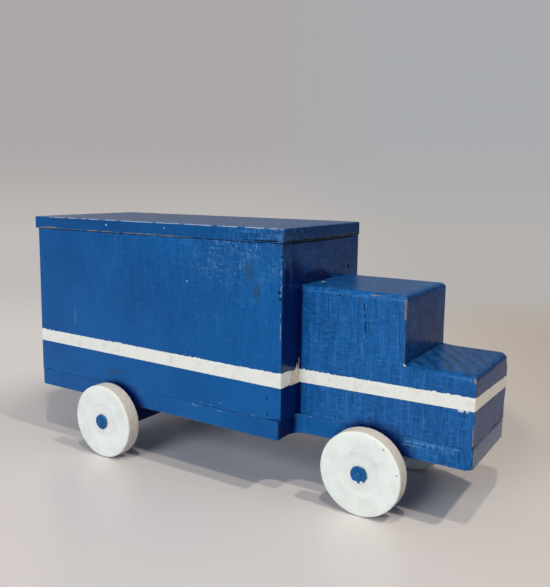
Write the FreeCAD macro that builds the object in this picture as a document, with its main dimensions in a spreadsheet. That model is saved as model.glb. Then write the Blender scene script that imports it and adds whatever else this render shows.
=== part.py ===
"""A homemade wooden toy box truck, built up piece by piece from boards and a block.

The truck stands on its four wheels with its front towards +X and its right side towards -Y.
The origin lies on the floor under the middle of the whole toy. All sizes are in millimetres.
"""

import os

import FreeCAD
import Part
import Sketcher

DOC = FreeCAD.newDocument("ToyBoxTruck")
SHEET = DOC.addObject("Spreadsheet::Sheet", "Sizes")

SIZES = {
    # load box
    "box_length": 230.7,
    "box_width": 108.0,
    "box_height": 114.9,
    "side_thickness": 12.0,
    "end_thickness": 12.0,
    "panel_edge_radius": 0.8,
    "rear_lean": 2.0,
    # roof board
    "roof_thickness": 9.5,
    "roof_overhang_rear": 1.5,
    "roof_overhang_front": 1.5,
    "roof_overhang_right": 0.6,
    "roof_inset_left": 0.9,
    "roof_edge_ease": 0.7,
    "roof_corner_radius": 1.8,
    # base board
    "base_thickness": 13.2,
    "base_setback": 2.0,
    "base_notch_radius": 9.0,
    "base_corner_radius": 1.5,
    "base_bottom_ease": 0.7,
    "base_nose_inset": 2.0,
    # cab block
    "cab_length": 117.2,
    "cab_width": 71.3,
    "cab_offset": 4.0,
    "cab_height": 86.8,
    "bonnet_length": 43.8,
    "bonnet_height": 44.5,
    "cab_top_radius": 4.0,
    "cab_corner_radius": 1.8,
    "saw_ridge_width": 2.2,
    "saw_ridge_height": 0.7,
    # axle blocks
    "axle_block_width": 24.0,
    "axle_block_height": 18.0,
    "axle_block_reach": 1.7,
    "axle_block_radius": 0.8,
    "axle_below_board": 12.35,
    "rear_axle_from_rear": 81.9,
    "front_axle_from_box": 52.0,
    # wheels
    "wheel_diameter": 55.3,
    "wheel_thickness": 11.0,
    "wheel_edge_ease": 0.8,
    "wheel_recess_diameter": 26.6,
    "wheel_recess_depth": 0.6,
    "wheel_recess_slope": 0.7,
    "wheel_gap": 1.0,
    # axle nails and washers
    "nail_diameter": 3.0,
    "nail_fit": 0.05,
    "wheel_fit": 0.07,
    "nail_grip": 22.0,
    "nail_point": 4.0,
    "nail_head_diameter": 4.6,
    "nail_head_height": 1.5,
    "washer_diameter": 12.0,
    "washer_thickness": 1.2,
    "washer_gap": 0.25,
}

for row, (alias, value) in enumerate(SIZES.items(), start=1):
    SHEET.set("A%d" % row, alias)
    SHEET.set("B%d" % row, str(value))
    SHEET.setAlias("B%d" % row, alias)
DOC.recompute()


def size(name):
    """The present value of one named size."""
    return float(SHEET.get(name))


def ref(name):
    """The name of one size as an expression reads it."""
    return "Sizes." + name


# lengths that follow from the sizes, as expressions
MIDDLE_X = "((Sizes.box_length + Sizes.cab_length - Sizes.roof_overhang_rear) / 2)"
AXLE_Z = "(Sizes.wheel_diameter / 2)"
BASE_Z = "(Sizes.wheel_diameter / 2 + Sizes.axle_below_board)"
FLOOR_Z = "(" + BASE_Z + " + Sizes.base_thickness)"
BOX_TOP_Z = "(" + FLOOR_Z + " + Sizes.box_height)"
CAB_RIGHT_Y = "(Sizes.cab_offset - Sizes.cab_width / 2)"
CAB_LEFT_Y = "(Sizes.cab_offset + Sizes.cab_width / 2)"
NOSE_LEFT_Y = "(" + CAB_LEFT_Y + " - Sizes.base_nose_inset)"
REAR_AXLE_X = "(Sizes.rear_axle_from_rear - " + MIDDLE_X + ")"
FRONT_AXLE_X = "(Sizes.box_length + Sizes.front_axle_from_box - " + MIDDLE_X + ")"
NOTCH_DEPTH = "(Sizes.box_width / 2 - " + NOSE_LEFT_Y + " - Sizes.base_corner_radius - 0.2)"

# where the slope of a nail's domed head changes, as shares of its radius and height
DOME_X = 0.7
DOME_Y = 0.78

PIECES = []


def place(piece, x, y, z):
    """Bind the place of a piece to expressions."""
    piece.setExpression("Placement.Base.x", x)
    piece.setExpression("Placement.Base.y", y)
    piece.setExpression("Placement.Base.z", z)


def new_body(label):
    """Start a body that becomes one piece of the toy."""
    body = DOC.addObject("PartDesign::Body", label)
    body.Label = label
    PIECES.append(body)
    return body


def new_sketch(body, name, role):
    """Lay an empty sketch on one of the body's own origin planes."""
    sketch = body.newObject("Sketcher::SketchObject", name)
    plane = [feature for feature in body.Origin.OriginFeatures if feature.Role == role][0]
    sketch.AttachmentSupport = [(plane, "")]
    sketch.MapMode = "FlatFace"
    return sketch


def bind(sketch, kind, refs, value, name, expression):
    """Add one dimension to a sketch and bind it to an expression."""
    index = sketch.addConstraint(Sketcher.Constraint(kind, *refs, value))
    sketch.renameConstraint(index, name)
    sketch.setExpression("Constraints." + name, expression)


def outline(sketch, points, names):
    """Draw a closed outline whose corners are each held by an X and a Y dimension.

    points is a list of (x, y, x expression, y expression); a corner with the expression "0" is held on
    the axis by a point-on-object constraint instead.
    """
    count = len(points)
    for index in range(count):
        x1, y1 = points[index][:2]
        x2, y2 = points[(index + 1) % count][:2]
        sketch.addGeometry(Part.LineSegment(FreeCAD.Vector(x1, y1, 0), FreeCAD.Vector(x2, y2, 0)), False)
    for index in range(count):
        sketch.addConstraint(Sketcher.Constraint("Coincident", index, 2, (index + 1) % count, 1))
    for index, (x, y, x_text, y_text) in enumerate(points):
        if x_text == "0":
            sketch.addConstraint(Sketcher.Constraint("PointOnObject", index, 1, -2))
        else:
            bind(sketch, "DistanceX", (-1, 1, index, 1), x, names + "X%d" % index, x_text)
        if y_text == "0":
            sketch.addConstraint(Sketcher.Constraint("PointOnObject", index, 1, -1))
        else:
            bind(sketch, "DistanceY", (-1, 1, index, 1), y, names + "Y%d" % index, y_text)


def pad(body, sketch, name, expression, backwards=False):
    """Pad a sketch by a bound length."""
    feature = body.newObject("PartDesign::Pad", name)
    feature.Profile = sketch
    feature.setExpression("Length", expression)
    feature.Reversed = backwards
    sketch.Visibility = False
    DOC.recompute()
    return feature


def edges_of(shape, test):
    """Names of the edges whose middle point passes the test, with their direction given to it."""
    found = []
    for number, edge in enumerate(shape.Edges, start=1):
        first, last = edge.ParameterRange
        middle = edge.valueAt((first + last) / 2)
        ends = [vertex.Point for vertex in edge.Vertexes]
        if len(ends) < 2:
            continue
        along = (ends[1] - ends[0])
        if along.Length < 1e-6:
            continue
        along.normalize()
        if test(middle, along):
            found.append("Edge%d" % number)
    return found


def round_edges(body, feature, name, expression, test):
    """Round the chosen edges of a body's last feature."""
    names = edges_of(feature.Shape, test)
    fillet = body.newObject("PartDesign::Fillet", name)
    fillet.Base = (feature, names)
    fillet.setExpression("Radius", expression)
    DOC.recompute()
    return fillet


def ease_edges(body, feature, name, expression, test):
    """Take the chosen edges of a body's last feature off at 45 degrees, as a few strokes of sandpaper do."""
    chamfer = body.newObject("PartDesign::Chamfer", name)
    chamfer.Base = (feature, edges_of(feature.Shape, test))
    chamfer.setExpression("Size", expression)
    DOC.recompute()
    return chamfer


def near(a, b):
    """Whether two lengths are the same to a hundredth of a millimetre."""
    return abs(a - b) < 0.01


def make_base_board():
    """The base board: as wide as the load box at the rear, stepped in under the cab.

    Each notch has a rounded inner corner, left by the blade that cut it. On the left the narrow part
    stays a little inside the cab block.
    """
    body = new_body("base_board")
    wide = "(Sizes.box_length - Sizes.base_setback)"
    nose = "(Sizes.box_length + Sizes.cab_length)"
    half = "(Sizes.box_width / 2)"
    wide_x = size("box_length") - size("base_setback")
    nose_x = size("box_length") + size("cab_length")
    half_y = size("box_width") / 2
    right_y = size("cab_offset") - size("cab_width") / 2
    left_y = size("cab_offset") + size("cab_width") / 2 - size("base_nose_inset")
    sketch = new_sketch(body, "base_plan", "XY_Plane")
    outline(
        sketch,
        [
            (0.0, -half_y, "0", "-" + half),
            (wide_x, -half_y, wide, "-" + half),
            (wide_x, right_y, wide, CAB_RIGHT_Y),
            (nose_x, right_y, nose, CAB_RIGHT_Y),
            (nose_x, left_y, nose, NOSE_LEFT_Y),
            (wide_x, left_y, wide, NOSE_LEFT_Y),
            (wide_x, half_y, wide, half),
            (0.0, half_y, "0", half),
        ],
        "Corner",
    )
    feature = pad(body, sketch, "base_pad", ref("base_thickness"))
    notch = round_edges(
        body,
        feature,
        "base_notch_round",
        "min(Sizes.base_notch_radius; " + NOTCH_DEPTH + ")",
        lambda middle, along: abs(along.z) > 0.9 and near(middle.x, wide_x) and abs(middle.y) < half_y - 1,
    )
    corner = round_edges(
        body,
        notch,
        "base_corner_round",
        ref("base_corner_radius"),
        lambda middle, along: abs(along.z) > 0.9
        and (near(middle.x, 0.0) or near(middle.x, nose_x) or near(abs(middle.y), half_y)),
    )
    ease_edges(
        body,
        corner,
        "base_bottom_ease",
        ref("base_bottom_ease"),
        lambda middle, along: near(middle.z, 0.0),
    )
    place(body, "-" + MIDDLE_X, "0", BASE_Z)


def upright_board(label, points, depth_text):
    """A standing board: its outline seen from the side, padded towards +Y."""
    body = new_body(label)
    sketch = new_sketch(body, label + "_outline", "XZ_Plane")
    outline(sketch, points, "Corner")
    return body, pad(body, sketch, label + "_pad", depth_text, True)


def make_side_panel(side, sign):
    """A side panel of the load box, over its full length; its rear edge is sawn a little out of square."""
    length = size("box_length")
    height = size("box_height")
    depth = size("side_thickness")
    label = "side_panel_" + side
    body, feature = upright_board(
        label,
        [
            (0.0, 0.0, "0", "0"),
            (length, 0.0, ref("box_length"), "0"),
            (length, height, ref("box_length"), ref("box_height")),
            (size("rear_lean"), height, ref("rear_lean"), ref("box_height")),
        ],
        ref("side_thickness"),
    )
    outer_y = 0.0 if sign < 0 else depth
    round_edges(
        body,
        feature,
        label + "_round",
        ref("panel_edge_radius"),
        lambda middle, along: abs(along.z) > 0.9 and near(middle.y, outer_y),
    )
    if sign < 0:
        place(body, "-" + MIDDLE_X, "-Sizes.box_width / 2", FLOOR_Z)
    else:
        place(body, "-" + MIDDLE_X, "Sizes.box_width / 2 - Sizes.side_thickness", FLOOR_Z)


def make_end_panel(label, x_text, lean, lean_text):
    """An end panel of the load box, between the side panels; the rear one leans with their edges."""
    thick = size("end_thickness")
    height = size("box_height")
    body, _ = upright_board(
        label,
        [
            (0.0, 0.0, "0", "0"),
            (thick, 0.0, ref("end_thickness"), "0"),
            (thick + lean, height, "Sizes.end_thickness + " + lean_text, ref("box_height")),
            (lean, height, lean_text, ref("box_height")),
        ],
        "Sizes.box_width - 2 * Sizes.side_thickness",
    )
    place(body, x_text, "Sizes.side_thickness - Sizes.box_width / 2", FLOOR_Z)


def make_roof_board():
    """The roof board: thinner than the base and a little larger than the load box on three sides."""
    body = new_body("roof_board")
    length = size("box_length") + size("roof_overhang_rear") + size("roof_overhang_front")
    depth = size("box_width") + size("roof_overhang_right") - size("roof_inset_left")
    length_text = "Sizes.box_length + Sizes.roof_overhang_rear + Sizes.roof_overhang_front"
    depth_text = "Sizes.box_width + Sizes.roof_overhang_right - Sizes.roof_inset_left"
    sketch = new_sketch(body, "roof_plan", "XY_Plane")
    outline(
        sketch,
        [
            (0.0, 0.0, "0", "0"),
            (length, 0.0, length_text, "0"),
            (length, depth, length_text, depth_text),
            (0.0, depth, "0", depth_text),
        ],
        "Corner",
    )
    feature = pad(body, sketch, "roof_pad", ref("roof_thickness"))
    top = size("roof_thickness")
    corners = round_edges(
        body,
        feature,
        "roof_corner_round",
        ref("roof_corner_radius"),
        lambda middle, along: abs(along.z) > 0.9,
    )
    ease_edges(
        body,
        corners,
        "roof_top_ease",
        ref("roof_edge_ease"),
        lambda middle, along: near(middle.z, top),
    )
    place(
        body,
        "-" + MIDDLE_X + " - Sizes.roof_overhang_rear",
        "-Sizes.box_width / 2 - Sizes.roof_overhang_right",
        BOX_TOP_Z,
    )


def bound_box(name, length_text, width_text, height_text):
    """A block bound to three expressions."""
    block = DOC.addObject("Part::Box", name)
    block.setExpression("Length", length_text)
    block.setExpression("Width", width_text)
    block.setExpression("Height", height_text)
    DOC.recompute()
    return block


def bound_fillet(name, base, choices):
    """A block with chosen edges rounded; each choice is the name of a radius and a test for its edges."""
    fillet = DOC.addObject("Part::Fillet", name)
    fillet.Base = base
    rounded = []
    for radius_name, test in choices:
        radius = size(radius_name)
        rounded += [(int(text[4:]), radius, radius) for text in edges_of(base.Shape, test)]
    fillet.Edges = rounded
    base.Visibility = False
    DOC.recompute()
    return fillet


def make_cab_block():
    """The cab: one block with the bonnet step sawn out and every outer edge rounded over.

    The tall and the low part are rounded by themselves and joined, so the inner corner of the step stays
    as sharp as the saw left it. The two saw cuts did not quite meet and left a low ridge along the foot
    of the step.
    """
    cab_x = size("cab_length") - size("bonnet_length")
    nose_x = size("cab_length")
    cab_z = size("cab_height")
    low_z = size("bonnet_height")
    cab_text = "Sizes.cab_length - Sizes.bonnet_length"
    tall = bound_box("cab_tall", cab_text, ref("cab_width"), ref("cab_height"))
    low = bound_box("cab_low", ref("cab_length"), ref("cab_width"), ref("bonnet_height"))
    tall_round = bound_fillet(
        "cab_tall_round",
        tall,
        [
            ("cab_top_radius", lambda middle, along: near(middle.z, cab_z) and middle.x > 0.01),
            ("cab_corner_radius", lambda middle, along: abs(along.z) > 0.9 and near(middle.x, cab_x)),
        ],
    )
    low_round = bound_fillet(
        "cab_low_round",
        low,
        [
            ("cab_top_radius", lambda middle, along: near(middle.z, low_z) and middle.x > 0.01),
            ("cab_corner_radius", lambda middle, along: abs(along.z) > 0.9 and near(middle.x, nose_x)),
        ],
    )
    ridge = bound_box(
        "cab_saw_ridge",
        "Sizes.saw_ridge_width + Sizes.cab_corner_radius",
        "Sizes.cab_width - 2 * Sizes.cab_top_radius",
        "Sizes.saw_ridge_height + Sizes.cab_top_radius",
    )
    place(
        ridge,
        cab_text + " - Sizes.cab_corner_radius",
        ref("cab_top_radius"),
        "Sizes.bonnet_height - Sizes.cab_top_radius",
    )
    block = DOC.addObject("Part::MultiFuse", "cab_block")
    block.Shapes = [tall_round, low_round, ridge]
    block.Refine = True
    block.Label = "cab_block"
    DOC.recompute()
    place(block, "Sizes.box_length - " + MIDDLE_X, CAB_RIGHT_Y, FLOOR_Z)
    PIECES.append(block)


def make_axle_block(end, x_text, right_text, left_text):
    """A strip across the underside, bored from both ends for the axle nails."""
    label = "axle_block_" + end
    body = new_body(label)
    half = size("axle_block_width") / 2
    tall = size("axle_block_height")
    drop = size("axle_below_board")
    length_text = "(" + left_text + " - " + right_text + " + 2 * Sizes.axle_block_reach)"
    sketch = new_sketch(body, label + "_section", "XZ_Plane")
    outline(
        sketch,
        [
            (-half, -tall, "-Sizes.axle_block_width / 2", "-Sizes.axle_block_height"),
            (half, -tall, "Sizes.axle_block_width / 2", "-Sizes.axle_block_height"),
            (half, 0.0, "Sizes.axle_block_width / 2", "0"),
            (-half, 0.0, "-Sizes.axle_block_width / 2", "0"),
        ],
        "Corner",
    )
    feature = pad(body, sketch, label + "_pad", length_text, True)
    rounded = round_edges(
        body,
        feature,
        label + "_round",
        ref("axle_block_radius"),
        lambda middle, along: near(middle.z, -tall),
    )
    solid = rounded.Shape.Volume
    bore = new_sketch(body, label + "_bore", "XZ_Plane")
    bore_radius = size("nail_diameter") / 2 + size("nail_fit")
    circle = bore.addGeometry(
        Part.Circle(FreeCAD.Vector(0, -drop, 0), FreeCAD.Vector(0, 0, 1), bore_radius), False
    )
    bore.addConstraint(Sketcher.Constraint("PointOnObject", circle, 3, -2))
    bind(bore, "DistanceY", (-1, 1, circle, 3), -drop, "BoreDrop", "-Sizes.axle_below_board")
    radius_text = "Sizes.nail_diameter / 2 + Sizes.nail_fit"
    bind(bore, "Radius", (circle,), bore_radius, "BoreRadius", radius_text)
    pocket = body.newObject("PartDesign::Pocket", label + "_bores")
    pocket.Profile = bore
    pocket.Type = "ThroughAll"
    pocket.Reversed = False
    bore.Visibility = False
    DOC.recompute()
    if near(pocket.Shape.Volume, solid):
        pocket.Reversed = True
        DOC.recompute()
    assert pocket.Shape.Volume < solid - 1.0
    place(body, x_text, right_text + " - Sizes.axle_block_reach", BASE_Z)


def revolve(body, sketch, name):
    """Turn a profile about the sketch's vertical axis."""
    feature = body.newObject("PartDesign::Revolution", name)
    feature.Profile = sketch
    feature.ReferenceAxis = (sketch, ["V_Axis"])
    feature.Angle = 360.0
    sketch.Visibility = False
    DOC.recompute()
    return feature


def make_wheel(name, x_text, face_text, turned):
    """A turned disc wheel: eased outer rim, shallow recess round the axle; y = 0 is its inner face."""
    body = new_body("wheel_" + name)
    bore = size("nail_diameter") / 2 + size("wheel_fit")
    rim = size("wheel_diameter") / 2
    thick = size("wheel_thickness")
    ease = size("wheel_edge_ease")
    recess = size("wheel_recess_diameter") / 2
    slope = size("wheel_recess_slope")
    deep = size("wheel_recess_depth")
    bore_text = "Sizes.nail_diameter / 2 + Sizes.wheel_fit"
    rim_text = "Sizes.wheel_diameter / 2"
    face_y = "-Sizes.wheel_thickness"
    recess_text = "Sizes.wheel_recess_diameter / 2"
    floor_text = "-(Sizes.wheel_thickness - Sizes.wheel_recess_depth)"
    sketch = new_sketch(body, "wheel_" + name + "_profile", "XY_Plane")
    outline(
        sketch,
        [
            (bore, 0.0, bore_text, "0"),
            (rim, 0.0, rim_text, "0"),
            (rim, ease - thick, rim_text, face_y + " + Sizes.wheel_edge_ease"),
            (rim - ease, -thick, rim_text + " - Sizes.wheel_edge_ease", face_y),
            (recess, -thick, recess_text, face_y),
            (recess - slope, deep - thick, recess_text + " - Sizes.wheel_recess_slope", floor_text),
            (bore, deep - thick, bore_text, floor_text),
        ],
        "Profile",
    )
    revolve(body, sketch, "wheel_" + name + "_turning")
    body.Placement = FreeCAD.Placement(
        FreeCAD.Vector(0, 0, 0), FreeCAD.Rotation(FreeCAD.Vector(0, 0, 1), 180 if turned else 0)
    )
    place(body, x_text, face_text, AXLE_Z)


def make_nail(name, x_text, face_text, turned):
    """A round nail: domed head, straight shank through wheel and washer, point inside the block.

    y = 0 is the end face of the axle block; the head is towards -Y.
    """
    body = new_body("axle_nail_" + name)
    shank = size("nail_diameter") / 2
    grip = size("nail_grip")
    point = size("nail_point")
    head = size("nail_head_diameter") / 2
    rise = size("nail_head_height")
    seat = (
        size("wheel_gap")
        + size("wheel_thickness")
        - size("wheel_recess_depth")
        + size("washer_gap")
        + size("washer_thickness")
    )
    seat_text = (
        "(Sizes.wheel_gap + Sizes.wheel_thickness - Sizes.wheel_recess_depth"
        " + Sizes.washer_gap + Sizes.washer_thickness)"
    )
    shank_text = "Sizes.nail_diameter / 2"
    head_text = "Sizes.nail_head_diameter / 2"
    sketch = new_sketch(body, "axle_nail_" + name + "_profile", "XY_Plane")
    outline(
        sketch,
        [
            (0.0, grip, "0", ref("nail_grip")),
            (0.0, -seat - rise, "0", "-" + seat_text + " - Sizes.nail_head_height"),
            (
                head * DOME_X,
                -seat - rise * DOME_Y,
                head_text + " * %g" % DOME_X,
                "-" + seat_text + " - Sizes.nail_head_height * %g" % DOME_Y,
            ),
            (head, -seat, head_text, "-" + seat_text),
            (shank, -seat, shank_text, "-" + seat_text),
            (shank, grip - point, shank_text, "Sizes.nail_grip - Sizes.nail_point"),
        ],
        "Profile",
    )
    revolve(body, sketch, "axle_nail_" + name + "_turning")
    body.Placement = FreeCAD.Placement(
        FreeCAD.Vector(0, 0, 0), FreeCAD.Rotation(FreeCAD.Vector(0, 0, 1), 180 if turned else 0)
    )
    place(body, x_text, face_text, AXLE_Z)


def make_washer(name, x_text, face_text, turned):
    """A washer under the nail head; y = 0 is its inner face."""
    body = new_body("axle_washer_" + name)
    bore = size("nail_diameter") / 2 + size("nail_fit")
    rim = size("washer_diameter") / 2
    thick = size("washer_thickness")
    outer_y = "-Sizes.washer_thickness"
    bore_text = "Sizes.nail_diameter / 2 + Sizes.nail_fit"
    rim_text = "Sizes.washer_diameter / 2"
    sketch = new_sketch(body, "axle_washer_" + name + "_profile", "XY_Plane")
    outline(
        sketch,
        [
            (bore, 0.0, bore_text, "0"),
            (rim, 0.0, rim_text, "0"),
            (rim, -thick, rim_text, outer_y),
            (bore, -thick, bore_text, outer_y),
        ],
        "Profile",
    )
    revolve(body, sketch, "axle_washer_" + name + "_turning")
    body.Placement = FreeCAD.Placement(
        FreeCAD.Vector(0, 0, 0), FreeCAD.Rotation(FreeCAD.Vector(0, 0, 1), 180 if turned else 0)
    )
    place(body, x_text, face_text, AXLE_Z)


def make_corner(end, side, x_text, edge_text):
    """One wheel with its nail and washer, outside one edge of the base board."""
    turned = side == "left"
    out = " + " if turned else " - "
    name = end + "_" + side
    block_end = edge_text + out + "Sizes.axle_block_reach"
    wheel_face = block_end + out + "Sizes.wheel_gap"
    washer_face = wheel_face + out + "(Sizes.wheel_thickness - Sizes.wheel_recess_depth + Sizes.washer_gap)"
    make_wheel(name, x_text, wheel_face, turned)
    make_nail(name, x_text, block_end, turned)
    make_washer(name, x_text, washer_face, turned)


BOX_RIGHT_Y = "(-Sizes.box_width / 2)"
BOX_LEFT_Y = "(Sizes.box_width / 2)"

make_base_board()
make_side_panel("right", -1)
make_side_panel("left", 1)
make_end_panel("front_panel", "Sizes.box_length - Sizes.end_thickness - " + MIDDLE_X, 0.0, "0")
make_end_panel("rear_panel", "-" + MIDDLE_X, size("rear_lean"), ref("rear_lean"))
make_roof_board()
make_cab_block()
make_axle_block("rear", REAR_AXLE_X, BOX_RIGHT_Y, BOX_LEFT_Y)
make_axle_block("front", FRONT_AXLE_X, CAB_RIGHT_Y, NOSE_LEFT_Y)
make_corner("rear", "right", REAR_AXLE_X, BOX_RIGHT_Y)
make_corner("rear", "left", REAR_AXLE_X, BOX_LEFT_Y)
make_corner("front", "right", FRONT_AXLE_X, CAB_RIGHT_Y)
make_corner("front", "left", FRONT_AXLE_X, NOSE_LEFT_Y)

DOC.recompute()

for thing in DOC.Objects:
    if "Invalid" in thing.State or "Error" in thing.State:
        raise RuntimeError("failed object: " + thing.Label)
for piece in PIECES:
    if piece.Shape.isNull() or not piece.Shape.isValid() or len(piece.Shape.Solids) != 1:
        raise RuntimeError("bad piece: " + piece.Label)

os.makedirs("parts", exist_ok=True)
for piece in PIECES:
    piece.Shape.exportStep("parts/" + piece.Label + ".step")
    box = piece.Shape.optimalBoundingBox()
    print(
        "%-22s volume %9.1f  x %7.2f %7.2f  y %7.2f %7.2f  z %7.2f %7.2f"
        % (piece.Label, piece.Shape.Volume, box.XMin, box.XMax, box.YMin, box.YMax, box.ZMin, box.ZMax)
    )
print("pieces", len(PIECES))
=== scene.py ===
"""The looks of a homemade wooden toy box truck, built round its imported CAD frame.

Every board, block, wheel, washer and nail is shaped again as a fine mesh in the place of its CAD node: its
edges are eased, its faces wobble as hand-sawn wood does, and its chips and nail holes are cut in. The
finishes are node materials on Object coordinates. Dataclass fields and marks are in millimetres, which MM
turns into metres; only the lamps, the camera and the sweep are given in metres.
"""

import logging
import math
from dataclasses import dataclass, field
from enum import Enum
from typing import Callable, Dict, List, Optional, Sequence, Tuple, Union

import bmesh
import bpy
import numpy as np
from mathutils import Matrix, Vector, noise


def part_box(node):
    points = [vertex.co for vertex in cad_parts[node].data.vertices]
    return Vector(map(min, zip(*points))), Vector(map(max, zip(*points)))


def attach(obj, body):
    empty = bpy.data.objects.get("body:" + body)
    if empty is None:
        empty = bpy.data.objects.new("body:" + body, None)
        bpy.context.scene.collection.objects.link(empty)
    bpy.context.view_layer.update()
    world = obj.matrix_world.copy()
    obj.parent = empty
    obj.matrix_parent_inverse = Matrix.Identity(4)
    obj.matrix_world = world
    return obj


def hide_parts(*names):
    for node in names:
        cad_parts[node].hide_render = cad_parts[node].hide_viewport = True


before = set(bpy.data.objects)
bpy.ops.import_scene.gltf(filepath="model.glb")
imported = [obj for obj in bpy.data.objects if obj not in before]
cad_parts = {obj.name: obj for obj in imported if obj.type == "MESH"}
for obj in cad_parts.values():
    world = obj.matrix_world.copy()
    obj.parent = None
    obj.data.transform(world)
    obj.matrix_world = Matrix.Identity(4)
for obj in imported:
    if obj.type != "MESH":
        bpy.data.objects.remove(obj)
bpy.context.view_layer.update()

LOG = logging.getLogger("toy_box_truck")
MM = 0.001
CHASSIS = "chassis"
# Lengths that differ by less than this, in millimetres, are the same.
SAME = 0.01
# A direction runs along an axis where that part of its unit vector is larger.
NEARLY = 0.9

Pair = Tuple[float, float]
Point = Tuple[float, float, float]
Colour = Tuple[float, float, float, float]
Socket = bpy.types.NodeSocket
Value = Union[float, Sequence[float], Socket]
Inputs = Optional[Dict[Union[int, str], Value]]
Mesh = bmesh.types.BMesh
Object = bpy.types.Object


class Axis(Enum):
    """One of the three directions of the frame."""

    X = 0
    Y = 1
    Z = 2

    @property
    def vector(self) -> Vector:
        """The unit vector of the axis."""
        return Vector([1.0 if place == self.value else 0.0 for place in range(3)])


class Mark(Enum):
    """What a mark on the paint is."""

    HOLE = "nail hole"
    CRACK = "open grain or a gap"
    BARE = "bare wood"
    # Pale paint: real rubbed paint, and on the side's lower seam painted glints.
    RUB_AND_SHEEN = "paint rubbed pale"
    STAIN = "brown stain"
    SPECK = "light speck"
    RUST = "rust"
    # Painted highlight: a pale line where an edge catches the light.
    GLINT = "rubbed edge that catches the light"
    # Painted shade: darkens inner corners, the places under the box and the halos round the wheels.
    THICK = "dark paint where the brush hardly reached"


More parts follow.
